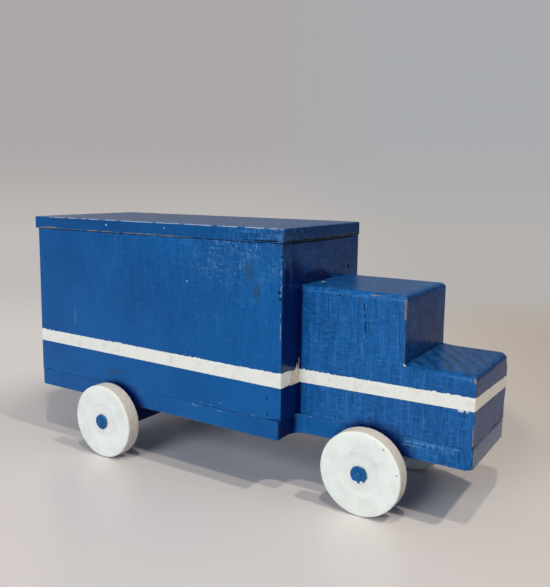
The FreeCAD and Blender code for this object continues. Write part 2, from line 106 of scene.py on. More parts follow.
class Graph:
    """Builds the node tree of one material; every step gives back the socket that holds its result."""

    # The Mix node's colour sockets go by place, because its other kinds use the same names.
    UNDER = 6
    OVER = 7
    MIXED = 2

    def __init__(self, name: str) -> None:
        """Start a material with an empty tree and its shader.

        Args:
            name: the material's name.
        """
        self.material = bpy.data.materials.new(name)
        self.material.use_nodes = True
        self.tree = self.material.node_tree
        self.tree.nodes.clear()
        self.output = self.tree.nodes.new("ShaderNodeOutputMaterial")
        self.shader = self.tree.nodes.new("ShaderNodeBsdfPrincipled")
        self.feed(self.output.inputs["Surface"], self.shader.outputs["BSDF"])
        self.place = self.node("TexCoord", "Object")
        self.facing = self.node("TexCoord", "Normal")

    def feed(self, socket: Socket, value: Value) -> None:
        """Link a socket to another one, or set its constant.

        Args:
            socket: an input.
            value: an output or a constant.
        """
        if isinstance(value, Socket):
            self.tree.links.new(value, socket)
        else:
            socket.default_value = value

    def node(self, kind: str, result: Union[int, str], inputs: Inputs = None, **settings: str) -> Socket:
        """Add a node.

        Args:
            kind: its type, without ShaderNode in front.
            result: the output that is wanted.
            inputs: what goes into it, by place or name.
            settings: its other properties.

        Returns:
            The wanted output.
        """
        node = self.tree.nodes.new("ShaderNode" + kind)
        for name, setting in settings.items():
            setattr(node, name, setting)
        for place, value in (inputs or {}).items():
            self.feed(node.inputs[place], value)
        return node.outputs[result]

    def math(self, how: str, *values: Value) -> Socket:
        """One step of arithmetic on numbers."""
        return self.node("Math", 0, dict(enumerate(values)), operation=how)

    def times(self, first: Value, second: Value) -> Socket:
        """The product of two numbers."""
        return self.math("MULTIPLY", first, second)

    def add(self, base: Value, value: Value, share: float, middle: float = 0.0) -> Socket:
        """Add a share of a value, measured from its middle, to a base."""
        offset = self.math("SUBTRACT", value, middle) if middle else value
        return self.math("MULTIPLY_ADD", offset, share, base)

    def vector(self, how: str, *values: Value) -> Socket:
        """One step of arithmetic on vectors; LENGTH and DOT_PRODUCT give a number."""
        result = "Value" if how in ("LENGTH", "DOT_PRODUCT") else "Vector"
        return self.node("VectorMath", result, dict(enumerate(values)), operation=how)

    def scale(self, vector: Value, factor: Value) -> Socket:
        """Scale a vector, or brighten a colour, by a factor."""
        return self.node("VectorMath", "Vector", {0: vector, "Scale": factor}, operation="SCALE")

    def axes(self) -> List[Socket]:
        """X, Y and Z of the place."""
        return self.node("SeparateXYZ", 0, {0: self.place}).node.outputs[:]

    def faces(self, axis: Axis, start: float, end: float) -> Socket:
        """How squarely the surface faces along an axis, from 0 to 1."""
        return self.ramp(self.vector("DOT_PRODUCT", self.facing, axis.vector), start, end)

    def noise(
        self, scales: Union[float, Point], seed: float, detail: float = 3.0, rough: float = 0.6
    ) -> Socket:
        """Noise from 0 to 1, about 0.5 on average.

        Args:
            scales: how many waves a metre, along all axes or along X, Y and Z.
            seed: shifts the pattern.
            detail: how many finer layers are added.
            rough: how strong the finer layers are.

        Returns:
            The noise.
        """
        if isinstance(scales, float):
            scales = (scales, scales, scales)
        stretched = self.vector("MULTIPLY", self.place, scales)
        moved = self.vector("ADD", stretched, (seed, seed * 1.7, seed * 0.6))
        inputs = {"Vector": moved, "Scale": 1.0, "Detail": detail, "Roughness": rough}
        return self.node("TexNoise", 0, inputs)

    def shifted(self, seed: float) -> Socket:
        """The place, moved by a seed so that a pattern on it differs."""
        return self.vector("ADD", self.place, (seed, seed * 0.3, seed * 0.7))

    def wandered(self, amount: float, seed: float) -> Socket:
        """Move the place to and fro, which makes a line waver.

        Args:
            amount: how far it moves at most, in millimetres.
            seed: shifts the pattern.

        Returns:
            The moved place.
        """
        wave = self.node("TexNoise", 1, {"Vector": self.shifted(seed), "Scale": 150.0, "Detail": 3.0})
        wave = self.vector("SUBTRACT", wave, (0.5, 0.5, 0.5))
        return self.vector("ADD", self.place, self.scale(wave, 2.0 * amount * MM))

    def flecks(self, scale: float, size: float, share: float, seed: float) -> Socket:
        """Small scattered dots that come in patches.

        Args:
            scale: dots a metre.
            size: radius of a dot in cell widths.
            share: what share of the surface has dots, from 0 to 1.
            seed: shifts the pattern.

        Returns:
            The mask of the dots.
        """
        gap = self.node("TexVoronoi", "Distance", {"Vector": self.shifted(seed), "Scale": scale})
        level = 0.75 - 0.5 * share
        patches = self.ramp(self.noise(80.0, seed + 7.0, 1.0, 0.5), level - 0.04, level + 0.04)
        return self.times(self.ramp(gap, size, size * 0.6), patches)

    def ramp(self, value: Value, start: float, end: float, low: float = 0.0, high: float = 1.0) -> Socket:
        """A smooth step from low, where value is start, to high, where it is end."""
        inputs = {"Value": value, "From Min": start, "From Max": end, "To Min": low, "To Max": high}
        return self.node("MapRange", "Result", inputs, interpolation_type="SMOOTHSTEP")

    def blend(self, share: Value, under: Value, over: Value) -> Socket:
        """Lay one colour over another by a share from 0 to 1."""
        inputs = {"Factor": share, self.UNDER: under, self.OVER: over}
        return self.node("Mix", self.MIXED, inputs, data_type="RGBA")

    def attribute(self, name: str) -> Socket:
        """A number that the mesh holds at each point."""
        return self.node("Attribute", "Fac", attribute_name=name)

    def shares_away(self, middle: Point, reach: Point) -> Socket:
        """Distance from a middle in shares of the reach along each axis, both in millimetres."""
        away = self.vector("SUBTRACT", self.place, [value * MM for value in middle])
        return self.vector("LENGTH", self.vector("DIVIDE", away, [value * MM for value in reach]))

    def bump(self, height: Value, depth: float) -> Socket:
        """Turn a height from 0 to 1 into relief of the given depth in metres."""
        return self.node("Bump", 0, {"Strength": 1.0, "Distance": depth, "Height": height})

    def dress(self, **sockets: Value) -> bpy.types.Material:
        """Set the shader's sockets.

        Args:
            sockets: what goes into each by its name, with _ for a space.

        Returns:
            The material.
        """
        for name, value in sockets.items():
            self.feed(self.shader.inputs[name.replace("_", " ")], value)
        return self.material


@dataclass
class Coat:
    """The finish so far, onto which the next layer is laid; relief is in shares of the depth in build()."""

    graph: Graph
    colour: Value
    relief: Value
    rough: Value
    gloss: Value = 0.5

    LEAST_GLOSS: float = 0.02

    def lay(
        self, mask: Optional[Socket], colour: Value, strength: float = 1.0, rise: float = 0.0,
        rough: float = 0.0, gloss: float = 0.0,
    ) -> None:
        """Lay a layer where its mask is; a mask of None lays nothing.

        Args:
            mask: where the layer is, from 0 to 1.
            colour: its colour.
            strength: how well it covers.
            rise: how far it stands above what it covers.
            rough: how much rougher it is.
            gloss: how much stronger its gloss is.
        """
        if mask is None:
            return
        graph = self.graph
        self.colour = graph.blend(graph.times(mask, strength), self.colour, colour)
        if rise:
            self.relief = graph.add(self.relief, mask, rise)
        if rough:
            self.rough = graph.add(self.rough, mask, rough)
        if gloss:
            self.gloss = graph.math("MAXIMUM", graph.add(self.gloss, mask, gloss), self.LEAST_GLOSS)

    def shade(self, mask: Socket, change: float, rise: float = 0.0) -> None:
        """Darken or brighten the colour where the mask is and raise or lower the surface."""
        self.colour = self.graph.scale(self.colour, self.graph.add(1.0, mask, change))
        self.relief = self.graph.add(self.relief, mask, rise)

    def build(self, depth: float, tint: Colour = (1.0, 1.0, 1.0, 1.0)) -> bpy.types.Material:
        """Make the material.

        Args:
            depth: how deep the relief is, in metres.
            tint: the colour of the gloss where it is seen square on.

        Returns:
            The finished node material.
        """
        return self.graph.dress(
            Base_Color=self.colour,
            Roughness=self.rough,
            Specular_IOR_Level=self.gloss,
            Specular_Tint=tint,
            Normal=self.graph.bump(self.relief, depth),
        )


@dataclass(frozen=True)
class Spot:
    """One mark on the paint: what it is, its middle, and its reach along X, Y and Z."""

    kind: Mark
    at: Point
    reach: Point

    def distance(self, graph: Graph) -> Socket:
        """How far a place is from the spot's middle, 1 at its rim."""
        return graph.shares_away(self.at, self.reach)


@dataclass(frozen=True)
class Line:
    """A long thin mark: broken is how much of it is missing, from 0 to 1, and wander how far it wavers."""

    kind: Mark
    start: Point
    end: Point
    width: float
    broken: float = 0.0
    wander: float = 0.0

    def distance(self, graph: Graph) -> Socket:
        """How far a place is from the line.

        Args:
            graph: the material's node tree.

        Returns:
            The distance, 1 at the line's rim.
        """
        start = Vector(self.start) * MM
        along = Vector(self.end) * MM - start
        place = graph.wandered(self.wander, self.width) if self.wander else graph.place
        away = graph.vector("SUBTRACT", place, start)
        share = graph.vector("DOT_PRODUCT", away, along / along.length_squared)
        within = graph.math("MINIMUM", graph.math("MAXIMUM", share, 0.0), 1.0)
        far = graph.vector("LENGTH", graph.vector("SUBTRACT", away, graph.scale(tuple(along), within)))
        shares = graph.math("DIVIDE", far, self.width / 2.0 * MM)
        if self.broken:
            level = 0.66 - 0.32 * self.broken
            gaps = graph.ramp(graph.noise(130.0, self.width + self.broken), level, level + 0.06)
            shares = graph.add(shares, gaps, 2.0)
        return shares


@dataclass(frozen=True)
class Stripe:
    """The white stripe on one piece.

    The heights of its lower and upper edge are given at the corner (x, y) and change along X and Y by the
    slopes. spikes_at is the y of an inner corner where the paint bled upwards.
    """

    corner: Pair
    lower: float
    upper: float
    lower_slope: Pair = (0.0, 0.0)
    upper_slope: Pair = (0.0, 0.0)
    spikes_at: Optional[float] = None
    # Greys the white towards cream: dirt, and on the box's front strip painted shade as well.
    dirt_and_shade: float = 0.05

    def mask(self, graph: Graph, seed: float) -> Socket:
        """Where the stripe is, with the ragged edges that paint leaves along tape.

        Args:
            graph: the material's node tree.
            seed: shifts the raggedness.

        Returns:
            The mask from 0 to 1.
        """
        x, y, z = graph.axes()
        edges = []
        for height, slopes in ((self.lower, self.lower_slope), (self.upper, self.upper_slope)):
            level: Value = height * MM
            for place, start, slope in zip((x, y), self.corner, slopes):
                level = graph.math("MULTIPLY_ADD", graph.math("SUBTRACT", place, start * MM), slope, level)
            edges.append(level)
        fine = graph.noise((430.0, 430.0, 170.0), seed + 11.0, 3.0, 0.65)
        broad = graph.noise((110.0, 110.0, 60.0), seed + 17.0, 2.0, 0.5)
        jagged = graph.ramp(graph.noise(28.0, seed + 19.0, 2.0), 0.42, 0.60, 0.35, 1.0)
        top = graph.times(graph.times(graph.ramp(fine, 0.46, 0.62), jagged), 0.7 * MM)
        top = graph.add(top, broad, 0.6 * MM, 0.55)
        if self.spikes_at is not None:
            gap = graph.math("ABSOLUTE", graph.math("SUBTRACT", y, self.spikes_at * MM))
            streaks = graph.ramp(graph.noise((900.0, 900.0, 40.0), seed + 23.0, 2.0, 0.6), 0.49, 0.62)
            top = graph.add(top, graph.times(streaks, graph.ramp(gap, 6.0 * MM, 0.5 * MM)), 8.0 * MM)
        low = graph.times(graph.math("SUBTRACT", fine, 0.5), 0.5 * MM)
        above = graph.math("SUBTRACT", z, graph.math("SUBTRACT", edges[0], low))
        below = graph.math("SUBTRACT", graph.math("ADD", edges[1], top), z)
        return graph.ramp(graph.math("MINIMUM", above, below), -0.06 * MM, 0.12 * MM)


@dataclass(frozen=True)
class Rings:
    """Growth rings that show where the end grain faces up: their middle, spacing and highest place."""

    middle: Pair
    spacing: float
    top: float

    def mask(self, graph: Graph, seed: float) -> Socket:
        """Where the dark rings are.

        Args:
            graph: the material's node tree.
            seed: shifts their unevenness.

        Returns:
            The mask from 0 to 1.
        """
        away = graph.vector("SUBTRACT", graph.place, [value * MM for value in (*self.middle, 0.0)])
        flat = graph.vector("MULTIPLY", away, (1.0, 1.0, 0.0))
        turns = graph.times(graph.vector("LENGTH", flat), math.tau / (self.spacing * MM))
        wave = graph.math("SINE", graph.add(turns, graph.noise(45.0, seed, 2.0, 0.6), 5.0))
        below = graph.ramp(graph.axes()[2], (self.top + 2.0) * MM, self.top * MM)
        here = graph.times(graph.faces(Axis.Z, 0.75, 0.97), below)
        return graph.times(graph.ramp(wave, -0.6, 1.0), here)


@dataclass(frozen=True)
class BlueEnamel:
    """Brushed blue enamel over wood, with its stripe, its marks, its wear and its painted shade and
    highlights.
    """

    name: str
    grain: Axis = Axis.Z
    seed: float = 0.0
    grain_strength: float = 0.5
    weave: float = 0.3
    pores: float = 0.0
    tone: float = 1.0
    stroke_sheen: float = 0.13
    wear: float = 0.12
    red_gloss: float = 0.20
    ahead_gloss: float = 0.5
    stripe: Optional[Stripe] = None
    marks: Tuple[Union[Spot, Line], ...] = ()
    crackle: Optional[Tuple[Point, Point]] = None
    rings: Optional[Rings] = None

    DEEP: Colour = (0.0015, 0.069, 0.258, 1.0)
    LIGHT: Colour = (0.003, 0.090, 0.315, 1.0)
    WHITE: Colour = (0.775, 0.785, 0.75, 1.0)
    CREAM: Colour = (0.56, 0.52, 0.44, 1.0)
    WOOD: Colour = (0.20, 0.145, 0.07, 1.0)
    PALE_WOOD: Colour = (0.31, 0.25, 0.16, 1.0)
    DARK: Colour = (0.0015, 0.004, 0.014, 1.0)
    BROWN: Colour = (0.020, 0.055, 0.12, 1.0)
    # A pale blue: real rubbed and thin paint, and also painted sheen and glints.
    CHALK_AND_SHEEN: Colour = (0.16, 0.30, 0.52, 1.0)
    RUST: Colour = (0.10, 0.030, 0.015, 1.0)
    GLINT: Colour = (0.40, 0.46, 0.58, 1.0)
    # Painted shade: near-black blue for the shaded corners and the halos round the wheels.
    THICK: Colour = (0.0005, 0.003, 0.062, 1.0)
    SKIP: Colour = (0.16, 0.19, 0.21, 1.0)
    # Painted shade: the tint that dims faces looking forward.
    FRONT_SHADE: Colour = (0.60, 0.46, 0.60, 1.0)
    RELIEF: float = 0.16

    def stretch(self, along: float, across: float) -> Point:
        """Scales of a pattern that runs with the grain."""
        return tuple(along if axis is self.grain else across for axis in Axis)

    def mask(self, graph: Graph, kind: Mark, ragged: float, soft: float, scale: float) -> Optional[Socket]:
        """The mask of all marks of one kind.

        Args:
            graph: the material's node tree.
            kind: which marks count.
            ragged: how ragged their rims are.
            soft: how wide their rims are.
            scale: waves a metre of the raggedness.

        Returns:
            The mask from 0 to 1, or None where the piece has no such mark.
        """
        gaps = [item.distance(graph) for item in self.marks if item.kind is kind]
        if not gaps:
            return None
        nearest = gaps[0]
        for gap in gaps[1:]:
            nearest = graph.math("MINIMUM", nearest, gap)
        rim = graph.add(nearest, graph.noise(scale, self.seed + 3.0), ragged, 0.5)
        return graph.ramp(rim, 1.0, 1.0 - soft)

    def brushed(self, graph: Graph) -> Coat:
        """The plain paint: cloudy colour, brush strokes, the grain that shows through, and painted shade and
        sheen.

        Args:
            graph: the material's node tree.

        Returns:
            The first coat.
        """
        seed = self.seed
        lively: Value = 1.0
        if self.crackle is not None:
            lively = graph.ramp(graph.shares_away(*self.crackle), 3.8, 0.6, 0.7, 3.4)
        strokes = graph.noise(self.stretch(45.0, 540.0), seed + 2.0, 4.0, 0.65)
        cross = graph.noise(self.stretch(620.0, 150.0), seed + 4.0, 3.0, 0.7)
        dapple = graph.noise(460.0, seed + 6.0, 4.0)
        strokes, cross, dapple = (
            graph.times(graph.math("SUBTRACT", pattern, 0.5), lively) for pattern in (strokes, cross, dapple)
        )
        veins = graph.noise(self.stretch(95.0, 1050.0), seed + 5.0)
        pores = graph.ramp(veins, 0.46, 0.32, 0.0, self.pores)
        cloud = graph.ramp(graph.noise(16.0, seed + 1.0, 3.0, 0.55), 0.32, 0.68)
        # Painted shade: faces that look forward are dimmed, because little light falls on them.
        ahead = graph.faces(Axis.X, 0.5, 0.9)
        forward_shade = graph.blend(ahead, (1.0, 1.0, 1.0, 1.0), self.FRONT_SHADE)
        colour = graph.vector("MULTIPLY", graph.blend(cloud, self.DEEP, self.LIGHT), forward_shade)
        streak = graph.times(strokes, 0.75 * self.grain_strength)
        thread = graph.times(cross, 0.85 * self.weave)
        shade = graph.math("ADD", graph.math("ADD", streak, thread), self.tone)
        shade = graph.add(graph.add(shade, dapple, 0.10), pores, -0.35)
        relief = graph.add(streak, cross, 0.75 * self.weave)
        relief = graph.add(graph.add(relief, pores, -0.5), dapple, 0.14)
        rough = graph.add(graph.add(0.30, dapple, 0.22), ahead, -0.12)
        gloss = graph.add(0.5, ahead, self.ahead_gloss - 0.5)
        coat = Coat(graph, graph.scale(colour, shade), relief, rough, gloss)
        # Painted sheen: the raised brush strokes are lightened as if they caught the light.
        coat.lay(graph.ramp(graph.math("MAXIMUM", streak, thread), 0.0, 0.24), self.CHALK_AND_SHEEN, self.stroke_sheen)
        return coat

    def age(self, graph: Graph, coat: Coat) -> None:
        """Lay thin paint on the edges, flecks, the crackle with its painted glints, and growth rings.

        Args:
            graph: the material's node tree.
            coat: the finish so far.
        """
        patches = graph.ramp(graph.noise(230.0, self.seed + 12.0), 0.48, 0.62)
        rim = graph.ramp(graph.attribute("edge_gap"), 1.6 * MM, 0.2 * MM)
        coat.lay(graph.times(rim, patches), self.CHALK_AND_SHEEN, self.wear)
        coat.lay(graph.flecks(210.0, 0.115, 0.2, self.seed + 0.31), self.CHALK_AND_SHEEN, 0.3)
        if self.crackle is not None:
            along = graph.noise(self.stretch(150.0, 620.0), self.seed + 8.0, 3.0, 0.7)
            over = graph.noise(self.stretch(640.0, 260.0), self.seed + 14.0, 3.0, 0.7)
            lumps = graph.math("MAXIMUM", along, over)
            patchy = graph.ramp(graph.noise(95.0, self.seed + 15.0, 2.0), 0.34, 0.60, 0.15, 1.0)
            here = graph.times(graph.ramp(graph.shares_away(*self.crackle), 1.0, 0.35), patchy)
            # Painted highlights: pale and near-white glints on the crackle's lumps, which also get real
            # relief below.
            coat.lay(graph.times(graph.ramp(lumps, 0.50, 0.74), here), self.CHALK_AND_SHEEN, 0.50)
            coat.lay(graph.times(graph.ramp(lumps, 0.65, 0.78), here), self.GLINT, 0.60)
            coat.relief = graph.add(coat.relief, graph.times(lumps, here), 1.1)
        if self.rings is not None:
            coat.shade(self.rings.mask(graph, self.seed + 9.0), -0.34, -1.2)

    def build(self) -> bpy.types.Material:
        """Make the material.

        Returns:
            The finished node material.
        """
        graph = Graph(self.name)
        coat = self.brushed(graph)
        self.age(graph, coat)
        coat.lay(self.mask(graph, Mark.STAIN, 1.6, 0.85, 160.0), self.BROWN, 0.7)
        # Painted shade, laid nearly opaque.
        coat.lay(self.mask(graph, Mark.THICK, 0.12, 0.25, 200.0), self.THICK, 0.97)
        coat.lay(self.mask(graph, Mark.RUB_AND_SHEEN, 1.3, 0.6, 500.0), self.CHALK_AND_SHEEN, 0.5)
        if self.stripe is not None:
            dirt = graph.ramp(graph.noise(130.0, self.seed + 31.0, 4.0), 0.46, 0.75)
            paint = graph.blend(graph.add(self.stripe.dirt_and_shade, dirt, 0.35), self.WHITE, self.CREAM)
            paint = graph.blend(graph.flecks(520.0, 0.14, 0.55, self.seed + 0.57), paint, self.SKIP)
            coat.lay(self.stripe.mask(graph, self.seed), paint, 1.0, 0.7, 0.14)
        fibre = graph.noise(self.stretch(30.0, 900.0), self.seed + 43.0)
        timber = graph.blend(graph.ramp(fibre, 0.35, 0.65), self.WOOD, self.PALE_WOOD)
        chipped = graph.add(graph.attribute("bare"), graph.noise(900.0, self.seed + 41.0), 0.9, 0.5)
        coat.lay(graph.ramp(chipped, 0.50, 0.62), timber, 0.8, -0.8, 0.25)
        coat.lay(self.mask(graph, Mark.BARE, 1.5, 0.5, 800.0), timber, 0.75, -0.6, 0.25)
        coat.lay(self.mask(graph, Mark.RUST, 0.8, 0.5, 900.0), self.RUST, 0.9)
        coat.lay(self.mask(graph, Mark.SPECK, 0.5, 0.4, 900.0), self.WHITE, 0.75, 0.5)
        coat.lay(self.mask(graph, Mark.GLINT, 0.8, 0.6, 900.0), self.GLINT, 0.8)
        coat.lay(self.mask(graph, Mark.CRACK, 1.0, 0.5, 700.0), self.DARK, 0.85, -1.6, 0.0, -0.4)
        coat.lay(self.mask(graph, Mark.HOLE, 0.25, 0.25, 700.0), self.DARK, 0.95, -1.6, 0.0, -0.48)
        return coat.build(self.RELIEF * MM, (self.red_gloss, 0.58, 1.0, 1.0))


@dataclass(frozen=True)
class ThickWhite:
    """Thick off-white paint on the turned wheels, with grime, specks, brush lumps and painted shade in the
    recess.
    """

    name: str = "thick_white_paint"
    seed: float = 5.0
    specks: Tuple[Spot, ...] = (
        Spot(Mark.SPECK, (125.35, -45.35, 47.4), (0.7, 1.0, 0.8)),
        Spot(Mark.SPECK, (134.15, -45.35, 33.1), (0.7, 1.0, 0.7)),
        Spot(Mark.SPECK, (-75.85, -67.7, 51.9), (0.9, 1.2, 1.0)),
    )

    FACE: Colour = (0.73, 0.78, 0.765, 1.0)
    GRIMY: Colour = (0.60, 0.605, 0.56, 1.0)
    TREAD: Colour = (0.58, 0.55, 0.51, 1.0)
    WORN: Colour = (0.42, 0.35, 0.28, 1.0)
    RECESS_SHADE: Colour = (0.70, 0.72, 0.70, 1.0)
    SPECK: Colour = (0.13, 0.12, 0.10, 1.0)

    def build(self) -> bpy.types.Material:
        """Make the material.

        Returns:
            The finished node material.
        """
        graph = Graph(self.name)
        lumps = graph.noise(480.0, self.seed + 1.0, 4.0)
        tread = graph.attribute("tread")
        coat = Coat(graph, self.FACE, lumps, graph.add(0.42, lumps, 0.2))
        coat.lay(graph.ramp(graph.noise(75.0, self.seed, 4.0), 0.36, 0.70), self.GRIMY, 0.5)
        coat.lay(tread, self.TREAD, 0.75)
        coat.lay(graph.times(tread, graph.ramp(lumps, 0.50, 0.68)), self.WORN, 0.5)
        # Painted shade: the recess floor is a greyer white than the face.
        coat.lay(graph.attribute("recess"), self.RECESS_SHADE, 0.6)
        coat.shade(lumps, 0.10)
        coat.lay(graph.flecks(150.0, 0.075, 0.22, 0.4), self.SPECK, 0.6)
        for spot in self.specks:
            coat.lay(graph.ramp(spot.distance(graph), 1.0, 0.6), self.SPECK, 0.8)
        return coat.build(0.2 * MM)


@dataclass(frozen=True)
class HubBlue:
    """Blue enamel dabbed on the washers and nail heads; white wheel paint laps over it in places."""

    name: str = "hub_blue"
    seed: float = 9.0
    laps: Tuple[Spot, ...] = (
        Spot(Mark.SPECK, (106.55, -46.0, 22.6), (2.6, 2.0, 1.1)),
        Spot(Mark.SPECK, (111.95, -46.0, 22.9), (1.2, 2.0, 1.6)),
    )

    BLUE: Colour = (0.006, 0.072, 0.225, 1.0)
    LIGHT: Colour = (0.012, 0.105, 0.32, 1.0)
    GRIME: Colour = (0.006, 0.016, 0.045, 1.0)
    WHITE: Colour = (0.78, 0.79, 0.76, 1.0)
    GLOSS: Colour = (0.20, 0.58, 1.0, 1.0)

    def build(self) -> bpy.types.Material:
        """Make the material.

        Returns:
            The finished node material.
        """
        graph = Graph(self.name)
        dabs = graph.noise(320.0, self.seed, 4.0)
        colour = graph.blend(graph.ramp(dabs, 0.35, 0.65), self.BLUE, self.LIGHT)
        coat = Coat(graph, colour, dabs, graph.add(0.28, dabs, 0.2))
        coat.lay(graph.ramp(graph.noise(700.0, self.seed + 1.0), 0.40, 0.30), self.GRIME, 0.6)
        for spot in self.laps:
            rim = graph.add(spot.distance(graph), graph.noise(600.0, self.seed + 2.0), 0.7, 0.5)
            coat.lay(graph.ramp(rim, 1.0, 0.85), self.WHITE, 1.0, 0.5)
        return coat.build(0.2 * MM, self.GLOSS)


@dataclass(frozen=True)
class Chip:
    """Wood broken or rubbed off: its middle, its reach, its depth and how bare it leaves the wood."""

    at: Point
    reach: Point
    depth: float
    bare: float = 1.0

    def share(self, here: Vector) -> float:
        """Find how much of the chip's depth applies at a place.

        Args:
            here: the place in metres.

        Returns:
            The share from 0 to 1.
        """
        sides = zip(here, self.at, self.reach)
        away = [(place - middle * MM) / (reach * MM) for place, middle, reach in sides]
        return max(0.0, 1.0 - sum(value * value for value in away))


def link(name: str, data: bpy.types.ID) -> Object:
    """Make an object and put it into the scene.

    Args:
        name: its name.
        data: its mesh, lamp or camera.

    Returns:
        The object.
    """
    item = bpy.data.objects.new(name, data)
    bpy.context.scene.collection.objects.link(item)
    return item


def to_data(name: str, mesh: Mesh) -> bpy.types.Mesh:
    """Turn a bmesh into mesh data.

    Args:
        name: the data's name.
        mesh: the bmesh, which is freed.

    Returns:
        The data.
    """
    data = bpy.data.meshes.new(name)
    mesh.to_mesh(data)
    mesh.free()
    return data


def finish_piece(
    node: str, mesh: Mesh, material: bpy.types.Material, layers: Dict[str, Sequence[float]], sharp: float
) -> Object:
    """Turn a bmesh into an object at the origin, with its material and its point values.

    Args:
        node: the CAD node that it takes the place of.
        mesh: the shaped bmesh, which is freed.
        material: its finish.
        layers: named numbers, one for each point.
        sharp: the angle in degrees from which an edge stays sharp.

    Returns:
        The new object.
    """
    for layer_name, values in layers.items():
        layer = mesh.verts.layers.float.new(layer_name)
        for vertex, value in zip(mesh.verts, values):
            vertex[layer] = float(value)
    bmesh.ops.triangulate(mesh, faces=[face for face in mesh.faces if len(face.verts) > 4])
    name = "painted_" + node
    data = to_data(name, mesh)
    data.polygons.foreach_set("use_smooth", [True] * len(data.polygons))
    data.set_sharp_from_angle(angle=math.radians(sharp))
    data.materials.append(material)
    return link(name, data)


def hand_over(piece: Object, node: str, body: str) -> None:
    """Hang a finished piece on its body in the place of its CAD node.

    Args:
        piece: the finished object.
        node: the CAD node that it replaces.
        body: the body that it rides on.
    """
    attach(piece, body)
    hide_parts(node)
    LOG.info("%s: %d faces", piece.name, len(piece.data.polygons))


def close(first: float, second: float) -> bool:
    """Whether two lengths in metres are the same to a hundredth of a millimetre."""
    return abs(first - second) < SAME * MM


def held(value: float) -> float:
    """A number, held between 0 and 1."""
    return min(1.0, max(0.0, value))


def upright(along: Vector) -> bool:
    """Whether an edge runs up and down, or nearly so."""
    return abs(along.z) > NEARLY


def lengthwise(along: Vector) -> bool:
    """Whether an edge runs from the rear to the front, or nearly so."""
    return abs(along.x) > NEARLY


